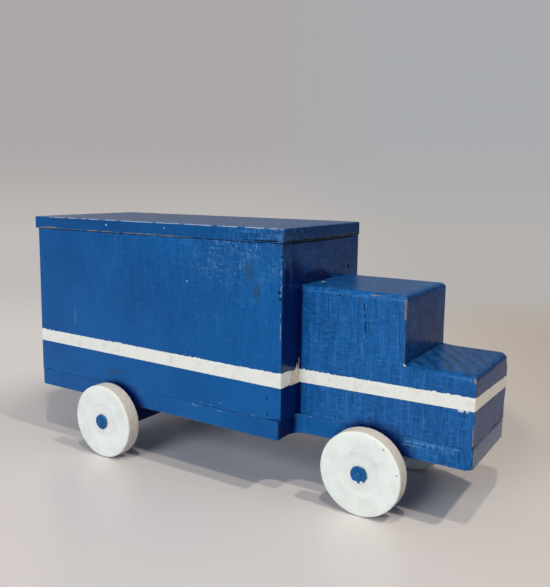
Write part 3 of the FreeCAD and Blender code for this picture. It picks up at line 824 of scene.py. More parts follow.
@dataclass
class WoodPiece:
    """One board or block: sawn to an outline, its edges eased, and made uneven by hand."""

    node: str
    slot: str
    finish: BlueEnamel
    step: float = 2.5
    swell: float = 0.12
    swell_waves: float = 22.0
    ripple: float = 0.05
    ripple_waves: float = 170.0
    edge_wobble: float = 0.08
    edge_waves: Pair = (75.0, 310.0)
    edge_reach: float = 1.4
    chips: Tuple[Chip, ...] = ()
    chip_waves: float = 420.0
    holes: Tuple[Tuple[Point, Axis], ...] = ()
    hole_radius: float = 0.7
    hole_depth: float = 1.2
    sharp: float = 40.0
    mesh: Mesh = field(default_factory=bmesh.new)
    edges: List[Tuple[Vector, Vector]] = field(default_factory=list)
    extra: List[Tuple[Axis, float]] = field(default_factory=list)

    RIMS = (0.45, 1.0, 1.7, 2.6, 4.0)
    CHIP_CUTS = (-0.9, -0.5, -0.15, 0.2, 0.55, 0.9)
    BORDER = 5.0
    NOISE_SHIFT = Vector((2.0, 1.4, 0.3))

    def prism(self, corners: Sequence[Pair], axis: Axis) -> None:
        """Extrude an outline along an axis, from one face of the CAD node's box to the other.

        Args:
            corners: the outline's corners in the order of the two other axes.
            axis: the direction of the extrusion.
        """
        low, high = (corner[axis.value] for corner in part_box(self.node))
        others = [place for place in range(3) if place != axis.value]
        points = []
        for corner in corners:
            point = Vector((0.0, 0.0, 0.0))
            point[others[0]], point[others[1]] = corner
            point[axis.value] = low
            points.append(self.mesh.verts.new(point))
        face = self.mesh.faces.new(points)
        grown = bmesh.ops.extrude_face_region(self.mesh, geom=[face])["geom"]
        top = [item for item in grown if isinstance(item, bmesh.types.BMVert)]
        bmesh.ops.translate(self.mesh, verts=top, vec=axis.vector * (high - low))
        bmesh.ops.recalc_face_normals(self.mesh, faces=self.mesh.faces[:])

    def ease(
        self, width: float, segments: int, test: Callable[[Vector, Vector], bool], clamp: bool = True
    ) -> None:
        """Round over the edges that pass a test and remember where they ran.

        Args:
            width: the radius in millimetres.
            segments: how many faces go round.
            test: gets an edge's middle and direction and says whether it is rounded.
            clamp: whether the radius gives way to narrow faces.
        """
        chosen = []
        for edge in self.mesh.edges:
            start, end = (vertex.co.copy() for vertex in edge.verts)
            if test((start + end) / 2.0, (end - start).normalized()):
                chosen.append(edge)
                self.edges.append((start, end))
        bmesh.ops.bevel(
            self.mesh, geom=chosen, offset=width * MM, offset_type="OFFSET", segments=segments, profile=0.5,
            affect="EDGES", clamp_overlap=clamp, material=-1,
        )

    def grid(self) -> None:
        """Cut the faces into a grid, finer at the ends of each axis and round the chips."""
        border = self.BORDER * MM
        for axis in Axis:
            values = [vertex.co[axis.value] for vertex in self.mesh.verts]
            low, high = min(values), max(values)
            count = max(2, round((high - low) / (self.step * MM)))
            places = [low + (high - low) * number / count for number in range(1, count)]
            places = [place for place in places if low + border < place < high - border]
            places += [low + rim * MM for rim in self.RIMS] + [high - rim * MM for rim in self.RIMS]
            places += [place for other, place in self.extra if other is axis]
            for chip in self.chips:
                middle, reach = chip.at[axis.value] * MM, chip.reach[axis.value] * MM
                places += [middle + reach * share for share in self.CHIP_CUTS]
            for place in sorted(place for place in places if low < place < high):
                everything = self.mesh.verts[:] + self.mesh.edges[:] + self.mesh.faces[:]
                bmesh.ops.bisect_plane(
                    self.mesh, geom=everything, dist=1e-6, plane_co=axis.vector * place, plane_no=axis.vector
                )

    def gaps(self, points: np.ndarray) -> np.ndarray:
        """Measure how far points are from the nearest eased edge.

        Args:
            points: the places, one in each row.

        Returns:
            The distance of each.
        """
        best = np.full(len(points), 1.0)
        for start, end in self.edges:
            a, b = np.array(start), np.array(end)
            share = np.clip(((points - a) @ (b - a)) / ((b - a) @ (b - a)), 0.0, 1.0)
            best = np.minimum(best, np.linalg.norm(points - a - share[:, None] * (b - a), axis=1))
        return best

    def shape(self) -> None:
        """Build the piece's own outline; each kind of piece has its own."""
        raise NotImplementedError

    def roughen(self) -> Dict[str, Sequence[float]]:
        """Make the faces and edges uneven, always inwards, and knock the chips out.

        Returns:
            For each point its distance to an edge and how bare it is.
        """
        self.mesh.normal_update()
        points = np.array([vertex.co[:] for vertex in self.mesh.verts])
        gap = self.gaps(points)
        bare = [0.0] * len(points)
        shift = self.NOISE_SHIFT
        for index, vertex in enumerate(self.mesh.verts):
            here = vertex.co.copy()
            rise = self.swell * 0.5 * (noise.noise(here * self.swell_waves + shift) - 0.8)
            rise += self.ripple * 0.5 * (noise.noise(here * self.ripple_waves + shift) - 1.0)
            near = math.exp(-gap[index] / (self.edge_reach * MM))
            wobble = sum(0.5 * noise.noise(here * waves + shift) for waves in self.edge_waves) - 0.8
            rise += self.edge_wobble * near * wobble
            for chip in self.chips:
                share = chip.share(here)
                if share > 0.0:
                    uneven = 1.0 + 0.5 * noise.noise(here * self.chip_waves + shift)
                    rise -= chip.depth * share * uneven
                    bare[index] = max(bare[index], share * chip.bare)
            vertex.co = here + vertex.normal * (rise * MM)
        return {"edge_gap": gap, "bare": bare}

    def bore_holes(self, piece: Object) -> None:
        """Sink the small nail holes into the finished mesh.

        Args:
            piece: the finished object.
        """
        for at, axis in self.holes:
            drill = bmesh.new()
            turn = Axis.Z.vector.rotation_difference(axis.vector).to_matrix().to_4x4()
            radius = self.hole_radius * MM
            bmesh.ops.create_cone(
                drill, cap_ends=True, segments=12, radius1=radius, radius2=radius,
                depth=2.0 * self.hole_depth * MM, matrix=Matrix.Translation(Vector(at) * MM) @ turn,
            )
            cutter = link("drill", to_data("drill", drill))
            modifier = piece.modifiers.new("hole", "BOOLEAN")
            modifier.operation = "DIFFERENCE"
            modifier.solver = "EXACT"
            modifier.object = cutter
            evaluated = piece.evaluated_get(bpy.context.evaluated_depsgraph_get())
            bored = bpy.data.meshes.new_from_object(evaluated)
            piece.modifiers.clear()
            used = (piece.data, cutter.data)
            piece.data = bored
            bpy.data.objects.remove(cutter)
            for data in used:
                bpy.data.meshes.remove(data)

    def make(self) -> None:
        """Build the piece, dress it and hang it on the chassis."""
        self.shape()
        self.grid()
        layers = self.roughen()
        piece = finish_piece(self.node, self.mesh, self.finish.build(), layers, self.sharp)
        self.bore_holes(piece)
        piece.data.name = piece.name
        hand_over(piece, self.node, CHASSIS)


@dataclass
class Panel(WoodPiece):
    """A side or an end of the load box; its edges may lean forward, and its outer edges are eased.

    outer is -1 or +1 for the side on which the outer face lies, and 0 for a panel between the two sides.
    """

    lean: float = 2.0
    front_lean: float = 0.0
    outer: int = 0
    corner_radius: float = 0.8
    rim_radius: float = 0.15

    def shape(self) -> None:
        """Saw the panel and ease its outer edges."""
        low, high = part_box(self.node)
        top = [(high.x, high.z), (low.x + self.lean * MM, high.z)]
        self.prism([(low.x, low.z), (high.x - self.front_lean * MM, low.z)] + top, Axis.Y)
        if self.outer:
            face = low.y if self.outer < 0 else high.y
            self.ease(self.corner_radius, 3, lambda at, along: upright(along) and close(at.y, face))
            self.ease(self.rim_radius, 2, lambda at, along: lengthwise(along) and close(at.y, face))


class Rim(Enum):
    """Which edges of a plain board are rounded."""

    UPRIGHT = "the four corners"
    UPPER = "round the upper face"
    LOWER = "round the lower face"


@dataclass
class Slab(WoodPiece):
    """A plain board or strip; rounds gives the radius, the segments and the edges of each rounding."""

    rounds: Tuple[Tuple[float, int, Rim], ...] = ()

    def shape(self) -> None:
        """Saw the board and ease its edges."""
        low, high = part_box(self.node)
        self.prism([(low.x, low.y), (high.x, low.y), (high.x, high.y), (low.x, high.y)], Axis.Z)
        tests = {
            Rim.UPRIGHT: lambda at, along: upright(along),
            Rim.UPPER: lambda at, along: close(at.z, high.z),
            Rim.LOWER: lambda at, along: close(at.z, low.z),
        }
        for radius, segments, rim in self.rounds:
            self.ease(radius, segments, tests[rim])


@dataclass
class BaseBoard(WoodPiece):
    """The base board, wide under the box and stepped in under the cab with round inner corners."""

    notch_radius: float = 9.0
    setback: float = 2.0
    nose_inset: float = 2.0
    corner_radius: float = 1.5
    lower_radius: float = 0.7
    upper_radius: float = 0.15

    def shape(self) -> None:
        """Saw the outline, ease the notches, the corners and the rims."""
        low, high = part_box(self.node)
        cab_low, cab_high_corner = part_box("cab_block")
        step_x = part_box("front_panel")[1].x - self.setback * MM
        right, left = cab_low.y, cab_high_corner.y - self.nose_inset * MM
        corners = [(low.x, low.y), (step_x, low.y), (step_x, right), (high.x, right)]
        corners += [(high.x, left), (step_x, left), (step_x, high.y), (low.x, high.y)]
        self.prism(corners, Axis.Z)

        def is_notch(at: Vector, along: Vector) -> bool:
            """Whether an edge is one of the two upright inner corners."""
            inner = close(at.y, right) or close(at.y, left)
            return upright(along) and close(at.x, step_x) and inner

        def is_corner(at: Vector, along: Vector) -> bool:
            """Whether an edge is an upright outer corner."""
            outer = close(at.x, low.x) or close(at.x, high.x) or close(abs(at.y), high.y)
            return upright(along) and outer

        self.ease(self.notch_radius, 9, is_notch)
        self.edges.clear()
        self.ease(self.corner_radius, 4, is_corner)
        self.ease(self.lower_radius, 3, lambda at, along: close(at.z, low.z) and not upright(along))
        self.ease(self.upper_radius, 2, lambda at, along: close(at.z, high.z) and not upright(along))


@dataclass
class CabBlock(WoodPiece):
    """The cab, one solid block with the bonnet step sawn out and a low ridge left at the step's foot."""

    bonnet_length: float = 43.8
    bonnet_height: float = 44.5
    top_radius: float = 4.0
    corner_radius: float = 1.8
    rear_radius: float = 1.6
    foot_radius: float = 0.15
    ridge_width: float = 2.2
    ridge_height: float = 0.7
    cuts_ahead: Tuple[float, ...] = (0.02, 0.25, 0.7, 1.2, 1.7, 2.05, 2.2, 2.4, 3.0)
    cuts_above: Tuple[float, ...] = (-2.6, -1.7, -1.0, -0.4, 0.5, 1.2, 2.2)

    def step_at(self) -> Pair:
        """X and Z of the step's foot, in metres."""
        low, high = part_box(self.node)
        return high.x - self.bonnet_length * MM, low.z + self.bonnet_height * MM

    def shape(self) -> None:
        """Saw the outline and round the outer edges; roughen() raises the ridge."""
        low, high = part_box(self.node)
        step_x, step_z = self.step_at()
        corners = [(low.x, low.z), (high.x, low.z), (high.x, step_z)]
        self.prism(corners + [(step_x, step_z), (step_x, high.z), (low.x, high.z)], Axis.Y)

        def is_top(at: Vector, along: Vector) -> bool:
            """Whether an edge runs round one of the two flat tops."""
            on_roof = close(at.z, high.z) and at.x > low.x + SAME * MM
            return on_roof or (close(at.z, step_z) and at.x > step_x + SAME * MM)

        def is_corner(at: Vector, along: Vector) -> bool:
            """Whether an edge is an upright outer corner."""
            outer = close(at.y, low.y) or close(at.y, high.y)
            return upright(along) and outer and (close(at.x, high.x) or close(at.x, step_x))

        def is_rear(at: Vector, along: Vector) -> bool:
            """Whether an edge is the upright one beside the load box on the near side."""
            return upright(along) and close(at.y, low.y) and close(at.x, low.x)

        self.ease(self.top_radius, 6, is_top, clamp=False)
        self.ease(self.corner_radius, 4, is_corner)
        self.ease(self.rear_radius, 4, is_rear)
        self.ease(self.foot_radius, 2, lambda at, along: close(at.z, low.z) and not upright(along))
        self.extra += [(Axis.X, step_x + ahead * MM) for ahead in self.cuts_ahead]
        self.extra += [(Axis.Z, step_z + above * MM) for above in self.cuts_above]

    def roughen(self) -> Dict[str, Sequence[float]]:
        """Make the block uneven, then raise the ridge at the foot of the step.

        Returns:
            For each point its distance to an edge and how bare it is.
        """
        low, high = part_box(self.node)
        step_x, step_z = self.step_at()
        inset = self.top_radius * MM
        ridge = []
        for vertex in self.mesh.verts:
            share = (vertex.co.x - step_x) / MM / self.ridge_width
            on_bonnet = close(vertex.co.z, step_z) and low.y + inset <= vertex.co.y <= high.y - inset
            if on_bonnet and 0.005 < share < 1.0:
                ridge.append((vertex, share))
        layers = super().roughen()
        for vertex, share in ridge:
            crest = min(1.0, 6.0 * share, 6.0 * (1.0 - share))
            uneven = 0.85 + 0.3 * noise.noise(vertex.co * 90.0)
            vertex.co.z += self.ridge_height * crest * uneven * MM
        return layers


@dataclass
class WheelSet:
    """One turned wheel with the washer and the nail that hold it."""

    end: str
    side: str
    wheel_finish: bpy.types.Material
    hub_finish: bpy.types.Material
    recess_radius: float = 13.3
    recess_depth: float = 0.6
    wheel_bore: float = 1.57
    washer_bore: float = 1.55
    shank: float = 1.5
    head_height: float = 1.5
    flats: float = 0.22
    lumps: float = 0.08
    dents: float = 0.12
    rim_worn: float = 2.2
    blobs: float = 0.07

    WHEEL_SEGMENTS = 120
    WASHER_SEGMENTS = 64
    NAIL_SEGMENTS = 40
    WHEEL_SHARP = 60.0
    HUB_SHARP = 50.0

    @property
    def outward(self) -> float:
        """-1 on the right side, +1 on the left."""
        return -1.0 if self.side == "right" else 1.0

    def place(self, kind: str) -> Tuple[str, Vector, float, float]:
        """Find where a node of this wheel is.

        Args:
            kind: wheel, axle_washer or axle_nail.

        Returns:
            The node's name, the axle's point at its inner end, its radius and its length in millimetres.
        """
        node = "_".join((kind, self.end, self.side))
        low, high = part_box(node)
        inner = high.y if self.outward < 0 else low.y
        centre = Vector(((low.x + high.x) / 2.0, inner, (low.z + high.z) / 2.0))
        return node, centre, (high.x - low.x) / 2.0 / MM, (high.y - low.y) / MM

    def turn(self, profile: Sequence[Pair], centre: Vector, segments: int) -> Mesh:
        """Turn a profile round the axle.

        Args:
            profile: radius and distance outward from the centre, in millimetres.
            centre: the point on the axle that the distances start from.
            segments: how many faces go round.

        Returns:
            The turned mesh.
        """
        mesh = bmesh.new()
        places = [Vector((radius * MM, self.outward * out * MM, 0.0)) for radius, out in profile]
        points = [mesh.verts.new(centre + place) for place in places]
        lines = [mesh.edges.new(pair) for pair in zip(points, points[1:])]
        bmesh.ops.spin(
            mesh, geom=points + lines, cent=centre, axis=Axis.Y.vector, angle=math.tau, steps=segments,
            use_merge=True, use_duplicate=False,
        )
        bmesh.ops.remove_doubles(mesh, verts=mesh.verts[:], dist=1e-6)
        bmesh.ops.recalc_face_normals(mesh, faces=mesh.faces[:])
        return mesh

    def wheel_profile(self, rim: float, thick: float) -> List[Pair]:
        """Draw the wheel's section: inner face, tread, outer face and recess, from bore to bore.

        Args:
            rim: the wheel's radius.
            thick: its thickness.

        Returns:
            Radius and distance outward of each point.
        """
        bore, edge, floor = self.wheel_bore, self.recess_radius, thick - self.recess_depth
        inner_face = [(bore, 0.4), (bore + 0.4, 0.0)] + [(radius, 0.0) for radius in (6.0, 12.0, 18.0, 24.0)]
        inner_rim = [(rim - 1.0, 0.0), (rim - 0.45, 0.12), (rim - 0.12, 0.45), (rim, 1.1)]
        tread = [(rim, 3.0), (rim, 5.5), (rim, 8.0)]
        drops = ((0.0, 1.7), (0.10, 1.0), (0.36, 0.48), (0.80, 0.16), (1.5, 0.0))
        outer_rim = [(rim - inset, thick - drop) for inset, drop in drops]
        outer_face = [(radius, thick) for radius in (23.0, 20.0, 17.5, edge + 1.6)]
        lip = [(edge + 0.7, thick - 0.04), (edge, thick - 0.22), (edge - 0.8, floor + 0.16)]
        recess = [(radius, floor) for radius in (edge - 1.9, 10.0, 7.5, 5.0, bore + 0.3)]
        hole = [(bore, floor - 0.4), (bore, thick * 0.5), (bore, 0.4)]
        return inner_face + inner_rim + tread + outer_rim + outer_face + lip + recess + hole

    def make_wheel(self) -> None:
        """The wheel itself, its rim a little out of round."""
        node, centre, rim, thick = self.place("wheel")
        mesh = self.turn(self.wheel_profile(rim, thick), centre, self.WHEEL_SEGMENTS)
        layers: Dict[str, List[float]] = {"tread": [], "recess": []}
        for vertex in mesh.verts:
            offset = vertex.co - centre
            across = Vector((offset.x, 0.0, offset.z))
            radius, out = across.length / MM, abs(offset.y) / MM
            on_tread = held((radius - rim + 0.45) / 0.35) * held((thick - 0.35 - out) / 0.8)
            layers["tread"].append(on_tread)
            in_recess = radius < self.recess_radius - 0.4 and out > thick * 0.7
            layers["recess"].append(1.0 if in_recess else 0.0)
            share = held((radius - rim + self.rim_worn) / self.rim_worn)
            flat = 0.5 + 0.5 * noise.noise(across.normalized() * 2.6 + centre * 40.0)
            lump = 0.5 + 0.5 * noise.noise(vertex.co * 260.0)
            vertex.co -= across.normalized() * (share * (0.02 + self.flats * flat + self.lumps * lump) * MM)
            if radius < rim - 0.5 and out > 1.0:
                dent = self.dents * noise.noise(vertex.co * 110.0) - self.dents
                vertex.co.y += self.outward * dent * MM
        piece = finish_piece(node, mesh, self.wheel_finish, layers, self.WHEEL_SHARP)
        hand_over(piece, node, "body_" + node)

    def make_washer(self) -> None:
        """The washer, blobbed over with paint so that its rim is uneven."""
        node, centre, rim, thick = self.place("axle_washer")
        bore = self.washer_bore
        outline = [(bore, 0.0), (rim - 0.3, 0.0), (rim, 0.35), (rim - 0.05, thick * 0.6)]
        outline += [(rim - 0.35, thick * 0.9), (rim - 0.9, thick), (4.0, thick), (2.6, thick)]
        mesh = self.turn(outline + [(bore, thick), (bore, 0.0)], centre, self.WASHER_SEGMENTS)
        for vertex in mesh.verts:
            offset = vertex.co - centre
            across = Vector((offset.x, 0.0, offset.z))
            if across.length > 3.0 * MM:
                uneven = noise.noise(across.normalized() * 3.4 + centre * 70.0)
                vertex.co += across * (self.blobs * uneven - self.blobs)
        piece = finish_piece(node, mesh, self.hub_finish, {}, self.HUB_SHARP)
        hand_over(piece, node, CHASSIS)

    def make_nail(self) -> None:
        """The axle nail with its domed head."""
        node, centre, head, length = self.place("axle_nail")
        rise = self.head_height
        seat = length - rise
        dome = ((0.97, 0.42), (0.84, 0.70), (0.60, 0.90), (0.30, 0.98))
        outline = [(0.0, 0.0), (self.shank, 4.0), (self.shank, seat)]
        outline += [(head - 0.15, seat), (head, seat + 0.15)]
        outline += [(head * across, seat + rise * up) for across, up in dome] + [(0.0, length)]
        mesh = self.turn(outline, centre, self.NAIL_SEGMENTS)
        piece = finish_piece(node, mesh, self.hub_finish, {}, self.HUB_SHARP)
        hand_over(piece, node, CHASSIS)

    def make(self) -> None:
        """Make the three pieces."""
        self.make_wheel()
        self.make_washer()
        self.make_nail()


@dataclass(frozen=True)
class Lamp:
    """One lamp, aimed at the toy: its place and size in metres, its power and its colour."""

    name: str
    at: Point
    size: Pair
    power: float
    colour: Point


@dataclass
class Studio:
    """The pale floor that sweeps up into the backdrop, the lamps and the camera, in metres and degrees."""

    camera_at: Point = (0.27628, -0.40582, 0.20436)
    azimuth: float = 32.469
    pitch: float = 9.202
    roll: float = 0.608
    focal_pixels: float = 674.59
    picture_height: float = 587.0
    sensor: float = 36.0
    room: float = 0.02
    room_colour: Colour = (0.96, 0.97, 1.0, 1.0)
    sweep_start: float = 1.0
    sweep_radius: float = 1.2
    sweep_top: float = 4.0
    sweep_half_width: float = 5.0
    sweep_flat: Tuple[float, ...] = (-4.0, -1.0, -0.4, 0.0, 0.4)
    sweep_segments: int = 24
    lamps: Tuple[Lamp, ...] = (
        Lamp("window", (-0.110, -1.998, 0.899), (1.0, 1.2), 30.6, (0.950, 0.982, 1.0)),
        Lamp("window_left", (-1.396, -1.551, 0.698), (1.8, 1.2), 2.3, (0.94, 0.97, 1.0)),
        Lamp("window_right", (1.168, -1.668, 0.834), (1.8, 1.2), 2.4, (0.60, 0.80, 1.0)),
        Lamp("overhead", (0.0, -0.199, 1.990), (2.2, 2.2), 5.0, (0.935, 0.968, 1.0)),
        Lamp("rear", (-1.661, 0.498, 0.997), (1.2, 0.8), 3.1, (1.0, 0.83, 0.73)),
        Lamp("front", (1.691, 0.169, 0.592), (1.2, 0.8), 1.3, (1.0, 0.80, 0.65)),
        Lamp("ceiling_a", (0.953, 0.200, 0.867), (0.04, 0.04), 0.3, (1.0, 0.86, 0.68)),
        Lamp("ceiling_b", (0.553, -0.080, 0.836), (0.04, 0.04), 3.3, (1.0, 0.86, 0.68)),
        Lamp("ceiling_c", (0.318, -0.448, 1.274), (0.04, 0.04), 4.5, (1.0, 0.86, 0.68)),
    )

    def make_camera(self) -> None:
        """Set the camera where the photograph was taken from."""
        azimuth, pitch, roll = (math.radians(angle) for angle in (self.azimuth, self.pitch, self.roll))
        level_ahead = Vector((-math.sin(azimuth), math.cos(azimuth), 0.0))
        ahead = level_ahead * math.cos(pitch) - Axis.Z.vector * math.sin(pitch)
        level = Vector((math.cos(azimuth), math.sin(azimuth), 0.0))
        upright_way = level.cross(ahead)
        right = level * math.cos(roll) + upright_way * math.sin(roll)
        up = upright_way * math.cos(roll) - level * math.sin(roll)
        data = bpy.data.cameras.new("camera")
        data.sensor_width = self.sensor
        data.lens = self.focal_pixels / self.picture_height * self.sensor
        camera = link("camera", data)
        turned = Matrix((right, up, -ahead)).transposed().to_4x4()
        camera.matrix_world = Matrix.Translation(Vector(self.camera_at)) @ turned
        bpy.context.scene.camera = camera

    def sweep_finish(self) -> bpy.types.Material:
        """Make the pale table, which keeps the shadows near the toy, and the even grey backdrop.

        Returns:
            The finished node material.
        """
        graph = Graph("pale_sweep")
        cloud = graph.noise(5.0, 2.0, 3.0, 0.5)
        graph.dress(
            Base_Color=graph.blend(cloud, (0.626, 0.616, 0.638, 1.0), (0.658, 0.649, 0.673, 1.0)),
            Roughness=graph.add(0.30, cloud, 0.06),
            Specular_IOR_Level=0.35,
            Normal=graph.bump(graph.noise(300.0, 4.0, 2.0, 0.5), 0.01 * MM),
        )
        sideways, ahead, height = graph.axes()
        run = graph.math("ADD", ahead, graph.times(height, 0.8))
        side = graph.ramp(sideways, -0.1, 0.45)
        low = graph.blend(side, (0.62, 0.585, 0.56, 1.0), (0.455, 0.388, 0.328, 1.0))
        middle = graph.blend(side, (0.52, 0.50, 0.485, 1.0), (0.458, 0.440, 0.422, 1.0))
        far = graph.blend(side, (0.41, 0.387, 0.385, 1.0), (0.40, 0.41, 0.425, 1.0))
        colour = graph.blend(graph.ramp(run, 0.35, 0.85), low, middle)
        colour = graph.blend(graph.ramp(run, 1.3, 2.2), colour, far)
        glow = graph.node("Emission", 0, {"Color": colour})
        seen = graph.node("LightPath", "Is Camera Ray")
        mirrored = graph.node("LightPath", "Is Glossy Ray")
        mirrored = graph.times(mirrored, graph.ramp(sideways, -0.1, 0.45, 0.43, 0.13))
        left = graph.ramp(sideways, -0.12, -0.24, 1.0, 2.1)
        wider = graph.math("MAXIMUM", left, graph.ramp(sideways, 0.17, 0.28, 1.0, 3.0))
        reach = graph.vector("LENGTH", graph.vector("MULTIPLY", graph.place, (1.0, 1.0, 0.0)))
        away = graph.ramp(graph.times(reach, wider), 0.40, 0.75)
        share = graph.times(graph.math("MAXIMUM", seen, mirrored), away)
        mix = graph.node("MixShader", 0, {0: share, 1: graph.shader.outputs["BSDF"], 2: glow})
        graph.feed(graph.output.inputs["Surface"], mix)
        return graph.material

    def make_sweep(self) -> None:
        """The floor and backdrop in one: flat, then curved, then upright, square to the camera."""
        start, radius = self.sweep_start, self.sweep_radius
        profile = [(place, 0.0) for place in (*self.sweep_flat, start)]
        for number in range(1, self.sweep_segments + 1):
            angle = math.radians(90.0 * number / self.sweep_segments)
            profile.append((start + radius * math.sin(angle), radius * (1.0 - math.cos(angle))))
        profile.append((start + radius, self.sweep_top))
        mesh = bmesh.new()
        points = [mesh.verts.new((-self.sweep_half_width, ahead, height)) for ahead, height in profile]
        lines = [mesh.edges.new(pair) for pair in zip(points, points[1:])]
        grown = bmesh.ops.extrude_edge_only(mesh, edges=lines)["geom"]
        moved = [item for item in grown if isinstance(item, bmesh.types.BMVert)]
        bmesh.ops.translate(mesh, verts=moved, vec=Axis.X.vector * (2.0 * self.sweep_half_width))
        bmesh.ops.recalc_face_normals(mesh, faces=mesh.faces[:])
        if mesh.faces[:][0].normal.z < 0.0:
            bmesh.ops.reverse_faces(mesh, faces=mesh.faces[:])
        data = to_data("sweep", mesh)
        data.polygons.foreach_set("use_smooth", [True] * len(data.polygons))
        data.materials.append(self.sweep_finish())
        sweep = link("sweep", data)
        sweep.rotation_euler.z = math.radians(self.azimuth)

    def make_lights(self) -> None:
        """The soft window light, the ceiling lamps and the dim room."""
        for lamp in self.lamps:
            data = bpy.data.lights.new(lamp.name, "AREA")
            data.shape = "RECTANGLE"
            data.size, data.size_y = lamp.size
            data.energy = lamp.power
            data.color = lamp.colour
            light = link(lamp.name, data)
            light.location = lamp.at
            light.rotation_euler = (-Vector(lamp.at)).to_track_quat("-Z", "Y").to_euler()
            light.visible_camera = False
        world = bpy.data.worlds.new("room")
        world.use_nodes = True
        sky = world.node_tree.nodes["Background"]
        sky.inputs["Color"].default_value = self.room_colour
        sky.inputs["Strength"].default_value = self.room
        bpy.context.scene.world = world

    def make(self) -> None:
        """Set the stage."""
        bpy.context.scene.view_settings.view_transform = "Standard"
        self.make_camera()
        self.make_sweep()
        self.make_lights()


def near_side() -> Panel:
    """Describe the side of the load box that faces the camera, with all its marks.

    Returns:
        The piece, ready to be made.
    """
    y, front = -54.0, 57.5
    marks = (
        Spot(Mark.STAIN, (32.5, y, 149.0), (5.5, 3.0, 8.0)),
        Spot(Mark.STAIN, (38.8, y, 136.0), (4.5, 3.0, 8.0)),
        Spot(Mark.STAIN, (-89.6, y, 63.0), (14.0, 3.0, 3.0)),
        # Painted shade: a dark halo round the rear wheel.
        Spot(Mark.THICK, (-86.0, y, 27.6), (33.0, 6.0, 33.0)),
        # Painted shade: the side's front end in the corner beside the cab.
        Line(Mark.THICK, (front, y + 6.6, 126.0), (front, y + 6.6, 55.0), 13.0),
        Spot(Mark.THICK, (front, y + 6.6, 118.0), (6.0, 6.5, 42.0)),
        Line(Mark.RUB_AND_SHEEN, (-132.0, y, 106.1), (-132.8, y, 90.1), 1.0, 0.5, 1.6),
        Spot(Mark.SPECK, (-18.8, y, 138.6), (0.55, 2.0, 0.6)),
        Line(Mark.CRACK, (-171.6, y, 167.9), (57.3, y, 167.9), 0.5, 0.4),
        Line(Mark.CRACK, (-172.0, y, 53.2), (-164.6, y, 53.5), 1.0),
        Line(Mark.CRACK, (-147.7, y, 53.1), (-114.4, y, 53.1), 0.7, 0.2),
        Line(Mark.CRACK, (-3.9, y, 53.3), (24.1, y, 53.2), 0.7, 0.3),
        Line(Mark.CRACK, (45.3, y, 53.3), (51.3, y, 53.4), 1.0),
        Line(Mark.CRACK, (51.3, y, 53.4), (57.0, y, 54.9), 1.3),
        Line(Mark.BARE, (front, y, 131.5), (front, y, 99.0), 1.0, 0.2),
        Spot(Mark.CRACK, (55.4, y, 137.4), (1.0, 2.0, 1.4)),
        Spot(Mark.CRACK, (56.1, y, 133.1), (0.9, 2.0, 1.6)),
        Line(Mark.CRACK, (front, y, 163.0), (front, y, 132.0), 1.1, 0.4),
        # Painted highlight along the front edge.
        Line(Mark.GLINT, (front - 0.8, y, 163.0), (front - 0.8, y, 96.0), 0.6, 0.6),
        # Painted highlights: glints on the crackle along the lower seam.
        Line(Mark.RUB_AND_SHEEN, (-14.5, y, 54.8), (4.8, y, 54.6), 2.2, 0.6, 1.4),
        Spot(Mark.RUB_AND_SHEEN, (9.0, y, 57.2), (2.0, 2.0, 0.7)),
        Spot(Mark.RUB_AND_SHEEN, (36.3, y, 53.6), (1.2, 2.0, 0.7)),
    )
    chips = (
        Chip((front, y, 159.2), (2.4, 2.4, 1.9), 1.3, 0.0),
        Chip((front, y, 142.1), (1.6, 1.6, 1.8), 0.9, 1.1),
        Chip((front - 1.4, y, 137.4), (1.2, 1.5, 1.5), 0.7, 0.0),
        Chip((front, y, 133.1), (1.8, 1.8, 1.8), 0.8, 0.0),
        Chip((front, y, 120.0), (0.9, 0.9, 16.0), 0.5, 0.7),
        Chip((front, y, 52.8), (10.0, 5.0, 2.6), 1.3, 0.0),
    )
    places = ((-164.0, y, 145.9), (47.0, y, 67.5), (48.0, y, 58.0), (47.4, y, 56.2))
    finish = BlueEnamel(
        "enamel_side_right", Axis.Z, 2.0, 0.26, 0.24, tone=0.96, marks=marks,
        stripe=Stripe((front, y), 75.5, 85.2, (-0.0074, 0.0), (-0.0058, 0.0)),
        crackle=((24.0, y, 164.0), (64.0, 20.0, 32.0)),
    )
    holes = tuple((place, Axis.Y) for place in places)
    return Panel("side_panel_right", "blue_board", finish, chips=chips, holes=holes, outer=-1)


def front_panel() -> Panel:
    """Describe the front of the load box above the cab.

    Returns:
        The piece, ready to be made.
    """
    x = 57.5
    nail = (x, 37.7, 145.9)
    marks = (
        Line(Mark.CRACK, (x, 37.0, 160.0), (x, 37.6, 146.5), 1.1, 0.2, 0.8),
        Spot(Mark.HOLE, nail, (1.0, 1.8, 2.0)),
        Spot(Mark.HOLE, (x, 29.1, 146.8), (1.0, 1.0, 1.0)),
        # Painted shade: the strip beside the cab and the band just above the cab's top.
        Spot(Mark.THICK, (x, -43.0, 98.0), (6.0, 30.0, 72.0)),
        Spot(Mark.THICK, (x, -12.0, 138.0), (6.0, 28.0, 12.0)),
        Line(Mark.CRACK, (x, -53.0, 167.6), (x, 53.0, 167.6), 1.6, 0.1),
    )
    finish = BlueEnamel(
        "enamel_front", Axis.Z, 4.0, 1.5, 1.8, stroke_sheen=0.07, wear=0.0, marks=marks,
        # The stripe's last value, 0.9, is painted shade in the corner beside the cab.
        stripe=Stripe((x, -54.0), 75.1, 84.9, (0.0, -0.03), (0.0, -0.05), -31.65, 0.9),
    )
    return Panel("front_panel", "blue_board", finish, holes=((nail, Axis.X),), lean=0.0)


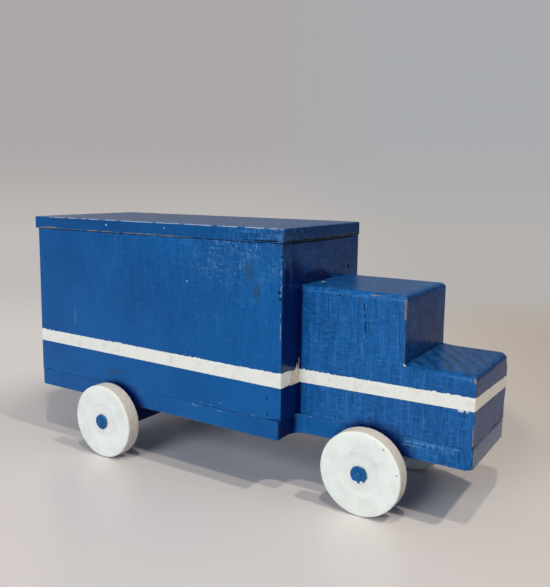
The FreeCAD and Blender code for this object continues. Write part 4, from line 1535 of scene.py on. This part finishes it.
def roof_board() -> Slab:
    """Describe the roof board with the wear along its near rim.

    Returns:
        The piece, ready to be made.
    """
    y, front, low, high = -54.6, 59.0, 168.7, 177.2
    marks = (
        Line(Mark.BARE, (-167.0, y, low), (-150.5, y, low + 0.4), 2.0, 0.1),
        Line(Mark.BARE, (-150.5, y, low), (-113.6, y, low - 0.2), 0.7, 0.5),
        Line(Mark.BARE, (-116.0, y, low), (-88.0, y, low - 0.1), 1.3, 0.3),
        Line(Mark.BARE, (-84.0, y, low - 0.2), (-58.0, y, low), 1.1, 0.3),
        Line(Mark.BARE, (-56.0, y, low - 0.2), (-30.0, y, low - 0.2), 1.4, 0.25),
        Line(Mark.BARE, (-30.0, y, low - 0.3), (24.0, y, low - 0.3), 0.7, 0.6),
        Line(Mark.CRACK, (-150.0, y, low - 0.7), (front - 2.0, y, low - 0.7), 0.7, 0.5),
        Line(Mark.CRACK, (30.0, y, low + 0.4), (front, y, low + 0.8), 1.5, 0.5),
        Line(Mark.CRACK, (front, -54.0, low - 0.1), (front, 52.0, low - 0.1), 3.4, 0.2, 0.8),
        # Painted highlight along the upper near rim.
        Line(Mark.GLINT, (-155.7, y + 0.5, high), (front - 1.0, y + 0.5, high), 1.0, 0.35),
        Spot(Mark.SPECK, (-94.5, y, 173.6), (0.9, 1.0, 0.8)),
        Spot(Mark.SPECK, (-38.2, y, 173.8), (0.5, 1.0, 0.5)),
        Spot(Mark.RUST, (51.5, y, 170.3), (1.0, 1.0, 0.8)),
        Spot(Mark.RUST, (58.4, y + 0.8, 169.5), (0.9, 1.4, 0.8)),
    )
    finish = BlueEnamel(
        "enamel_roof", Axis.X, 6.0, 0.6, 0.6, tone=0.80, wear=0.2, marks=marks,
        crackle=((52.0, y, 173.0), (16.0, 14.0, 8.0)),
    )
    rounds = ((1.8, 4, Rim.UPRIGHT), (0.9, 3, Rim.UPPER), (0.5, 2, Rim.LOWER))
    return Slab("roof_board", "blue_board", finish, edge_wobble=0.18, rounds=rounds)


def cab_block() -> CabBlock:
    """Describe the cab with its coarse grain, its cracks and its rubbed corner.

    Returns:
        The piece, ready to be made.
    """
    y, front, step = -31.65, 174.7, 130.9
    marks = (
        # Painted shade: the gap beside the load box, and a dark halo round the front wheel.
        Line(Mark.THICK, (57.8, y, 139.0), (57.8, y, 54.0), 4.0),
        Spot(Mark.THICK, (112.5, y, 27.6), (35.0, 6.0, 35.0)),
        Line(Mark.CRACK, (103.4, y, 132.0), (104.3, y, 124.0), 1.0, 0.5, 1.2),
        Line(Mark.CRACK, (104.3, y, 121.0), (104.7, y, 112.5), 1.1, 0.25, 1.2),
        Spot(Mark.BARE, (104.2, y, 111.6), (0.5, 2.0, 0.8)),
        Line(Mark.CRACK, (127.8, y, 122.0), (128.0, y, 117.2), 0.8, 0.2, 0.8),
        Spot(Mark.STAIN, (100.0, y, 134.0), (2.4, 2.5, 3.0)),
        Line(Mark.BARE, (107.0, y + 0.7, 138.2), (113.6, y + 0.7, 138.2), 0.8, 0.1),
        Spot(Mark.CRACK, (86.6, y, 136.0), (0.8, 2.0, 1.2)),
        Line(Mark.BARE, (step - 0.8, y + 0.8, 138.6), (step, y + 0.3, 126.0), 2.4),
        Line(Mark.BARE, (step, y + 0.2, 126.0), (step, y + 0.2, 97.5), 0.7, 0.4),
        Spot(Mark.SPECK, (step + 0.2, y + 0.3, 97.8), (1.0, 1.0, 1.2)),
        Spot(Mark.SPECK, (62.1, -8.7, 140.0), (1.6, 2.4, 0.8)),
        Spot(Mark.BARE, (173.8, y + 0.9, 94.6), (1.3, 1.3, 2.6)),
        Line(Mark.BARE, (174.4, y + 0.3, 68.0), (174.4, y + 0.3, 54.2), 1.1, 0.1),
        Line(Mark.CRACK, (front, 2.4, 53.8), (front, 26.0, 55.4), 1.9, 0.2, 1.8),
        Line(Mark.CRACK, (front, 26.0, 55.4), (front, 38.0, 61.4), 1.7, 0.1, 1.2),
        Line(Mark.CRACK, (front, -30.0, 54.4), (front, -6.0, 55.4), 1.2, 0.5, 1.6),
        Spot(Mark.CRACK, (front, y + 0.3, 54.6), (1.0, 1.2, 1.6)),
        Spot(Mark.SPECK, (166.4, y, 75.9), (2.4, 1.5, 0.9)),
        Spot(Mark.SPECK, (170.2, y, 76.0), (0.9, 1.5, 1.2)),
    )
    finish = BlueEnamel(
        "enamel_cab", Axis.Z, 7.0, 1.35, 1.35, 1.1, red_gloss=0.30, ahead_gloss=0.09, marks=marks,
        stripe=Stripe((front, y), 76.6, 84.8, (0.0135, -0.033), (0.008, -0.043)),
        rings=Rings((31.85, -86.5), 8.3, 98.5),
    )
    chips = (
        Chip((step, y, 132.5), (1.8, 1.8, 6.0), 0.6, 0.8),
        Chip((front, y, 95.5), (2.2, 2.2, 3.0), 0.5, 0.6),
        Chip((front, 39.65, 60.0), (2.5, 3.5, 10.0), 0.8, 0.0),
        Chip((front, 39.65, 97.7), (5.0, 5.0, 9.0), 1.5, 0.0),
        Chip((step - 0.5, y, 140.0), (4.5, 3.5, 4.5), 0.7, 0.0),
    )
    return CabBlock("cab_block", "blue_block", finish, step=2.0, chips=chips, swell=0.16)


def base_board() -> BaseBoard:
    """Describe the base board.

    Returns:
        The piece, ready to be made.
    """
    near, cab_near = -54.0, -31.65
    marks = (
        Line(Mark.RUB_AND_SHEEN, (-20.0, near, 51.9), (10.0, near, 51.7), 2.0, 0.7, 1.4),
        Line(Mark.RUB_AND_SHEEN, (66.4, cab_near, 52.6), (84.4, cab_near, 52.6), 1.2, 0.5, 1.0),
        Line(Mark.RUB_AND_SHEEN, (128.0, cab_near, 50.4), (168.0, cab_near, 51.4), 1.2, 0.6, 1.8),
        Line(Mark.RUB_AND_SHEEN, (130.0, cab_near, 48.0), (152.0, cab_near, 48.6), 1.1, 0.6, 1.6),
        Line(Mark.BARE, (-64.0, near, 40.4), (14.0, near, 40.4), 0.9, 0.5),
        Line(Mark.BARE, (68.0, cab_near, 40.4), (90.0, cab_near, 40.4), 0.8, 0.4),
        Line(Mark.CRACK, (174.7, 5.0, 52.6), (174.7, 32.0, 52.8), 1.4, 0.2),
        # Painted shade: dark halos round both near wheels, and the board's end at the step.
        Spot(Mark.THICK, (-86.0, near, 27.6), (33.0, 6.0, 33.0)),
        Spot(Mark.THICK, (112.5, cab_near, 27.6), (35.0, 6.0, 35.0)),
        Spot(Mark.THICK, (54.0, -41.5, 46.6), (5.6, 12.0, 13.0)),
    )
    crackle = ((150.0, cab_near, 49.5), (22.0, 10.0, 4.0))
    finish = BlueEnamel("enamel_base", Axis.X, 1.0, 0.7, 0.8, marks=marks, crackle=crackle)
    chips = (Chip((174.7, cab_near, 40.0), (4.0, 4.0, 4.0), 1.0, 0.0),)
    return BaseBoard("base_board", "blue_board", finish, chips=chips)


def build_truck() -> None:
    """Build every piece of the toy."""
    rear_stripe = Stripe((-173.2, -54.0), 77.2, 86.5)
    left_stripe = Stripe((57.5, 54.0), 75.5, 85.2, (-0.0074, 0.0), (-0.0058, 0.0))
    left = BlueEnamel("enamel_side_left", Axis.Z, 3.0, 0.25, 0.15, stripe=left_stripe)
    rear = BlueEnamel("enamel_rear", Axis.Z, 5.0, 0.3, 0.2, wear=0.0, stripe=rear_stripe)
    # Painted shade: the rear axle strip where the wheel and the board shade it.
    axle_shade_marks = (Spot(Mark.THICK, (-84.0, -50.0, 28.0), (20.0, 36.0, 16.0)),)
    axle = BlueEnamel("enamel_axle", Axis.Y, 8.0, 0.4, 0.2, tone=0.85, marks=axle_shade_marks)
    strip_rounds = ((0.8, 3, Rim.LOWER), (0.5, 2, Rim.UPRIGHT))
    pieces: List[WoodPiece] = [
        base_board(),
        near_side(),
        Panel("side_panel_left", "blue_board", left, outer=1),
        front_panel(),
        Panel("rear_panel", "blue_board", rear, front_lean=2.0),
        roof_board(),
        cab_block(),
        Slab("axle_block_rear", "blue_strip", axle, rounds=strip_rounds),
        Slab("axle_block_front", "blue_strip", axle, rounds=strip_rounds),
    ]
    for piece in pieces:
        piece.make()
    wheel_finish = ThickWhite().build()
    hub_finish = HubBlue().build()
    for end in ("rear", "front"):
        for side in ("right", "left"):
            WheelSet(end, side, wheel_finish, hub_finish).make()


def main() -> None:
    """Build the stage and the truck."""
    logging.basicConfig(level=logging.INFO, format="%(name)s %(message)s")
    Studio().make()
    build_truck()


if __name__ == "__main__":
    main()
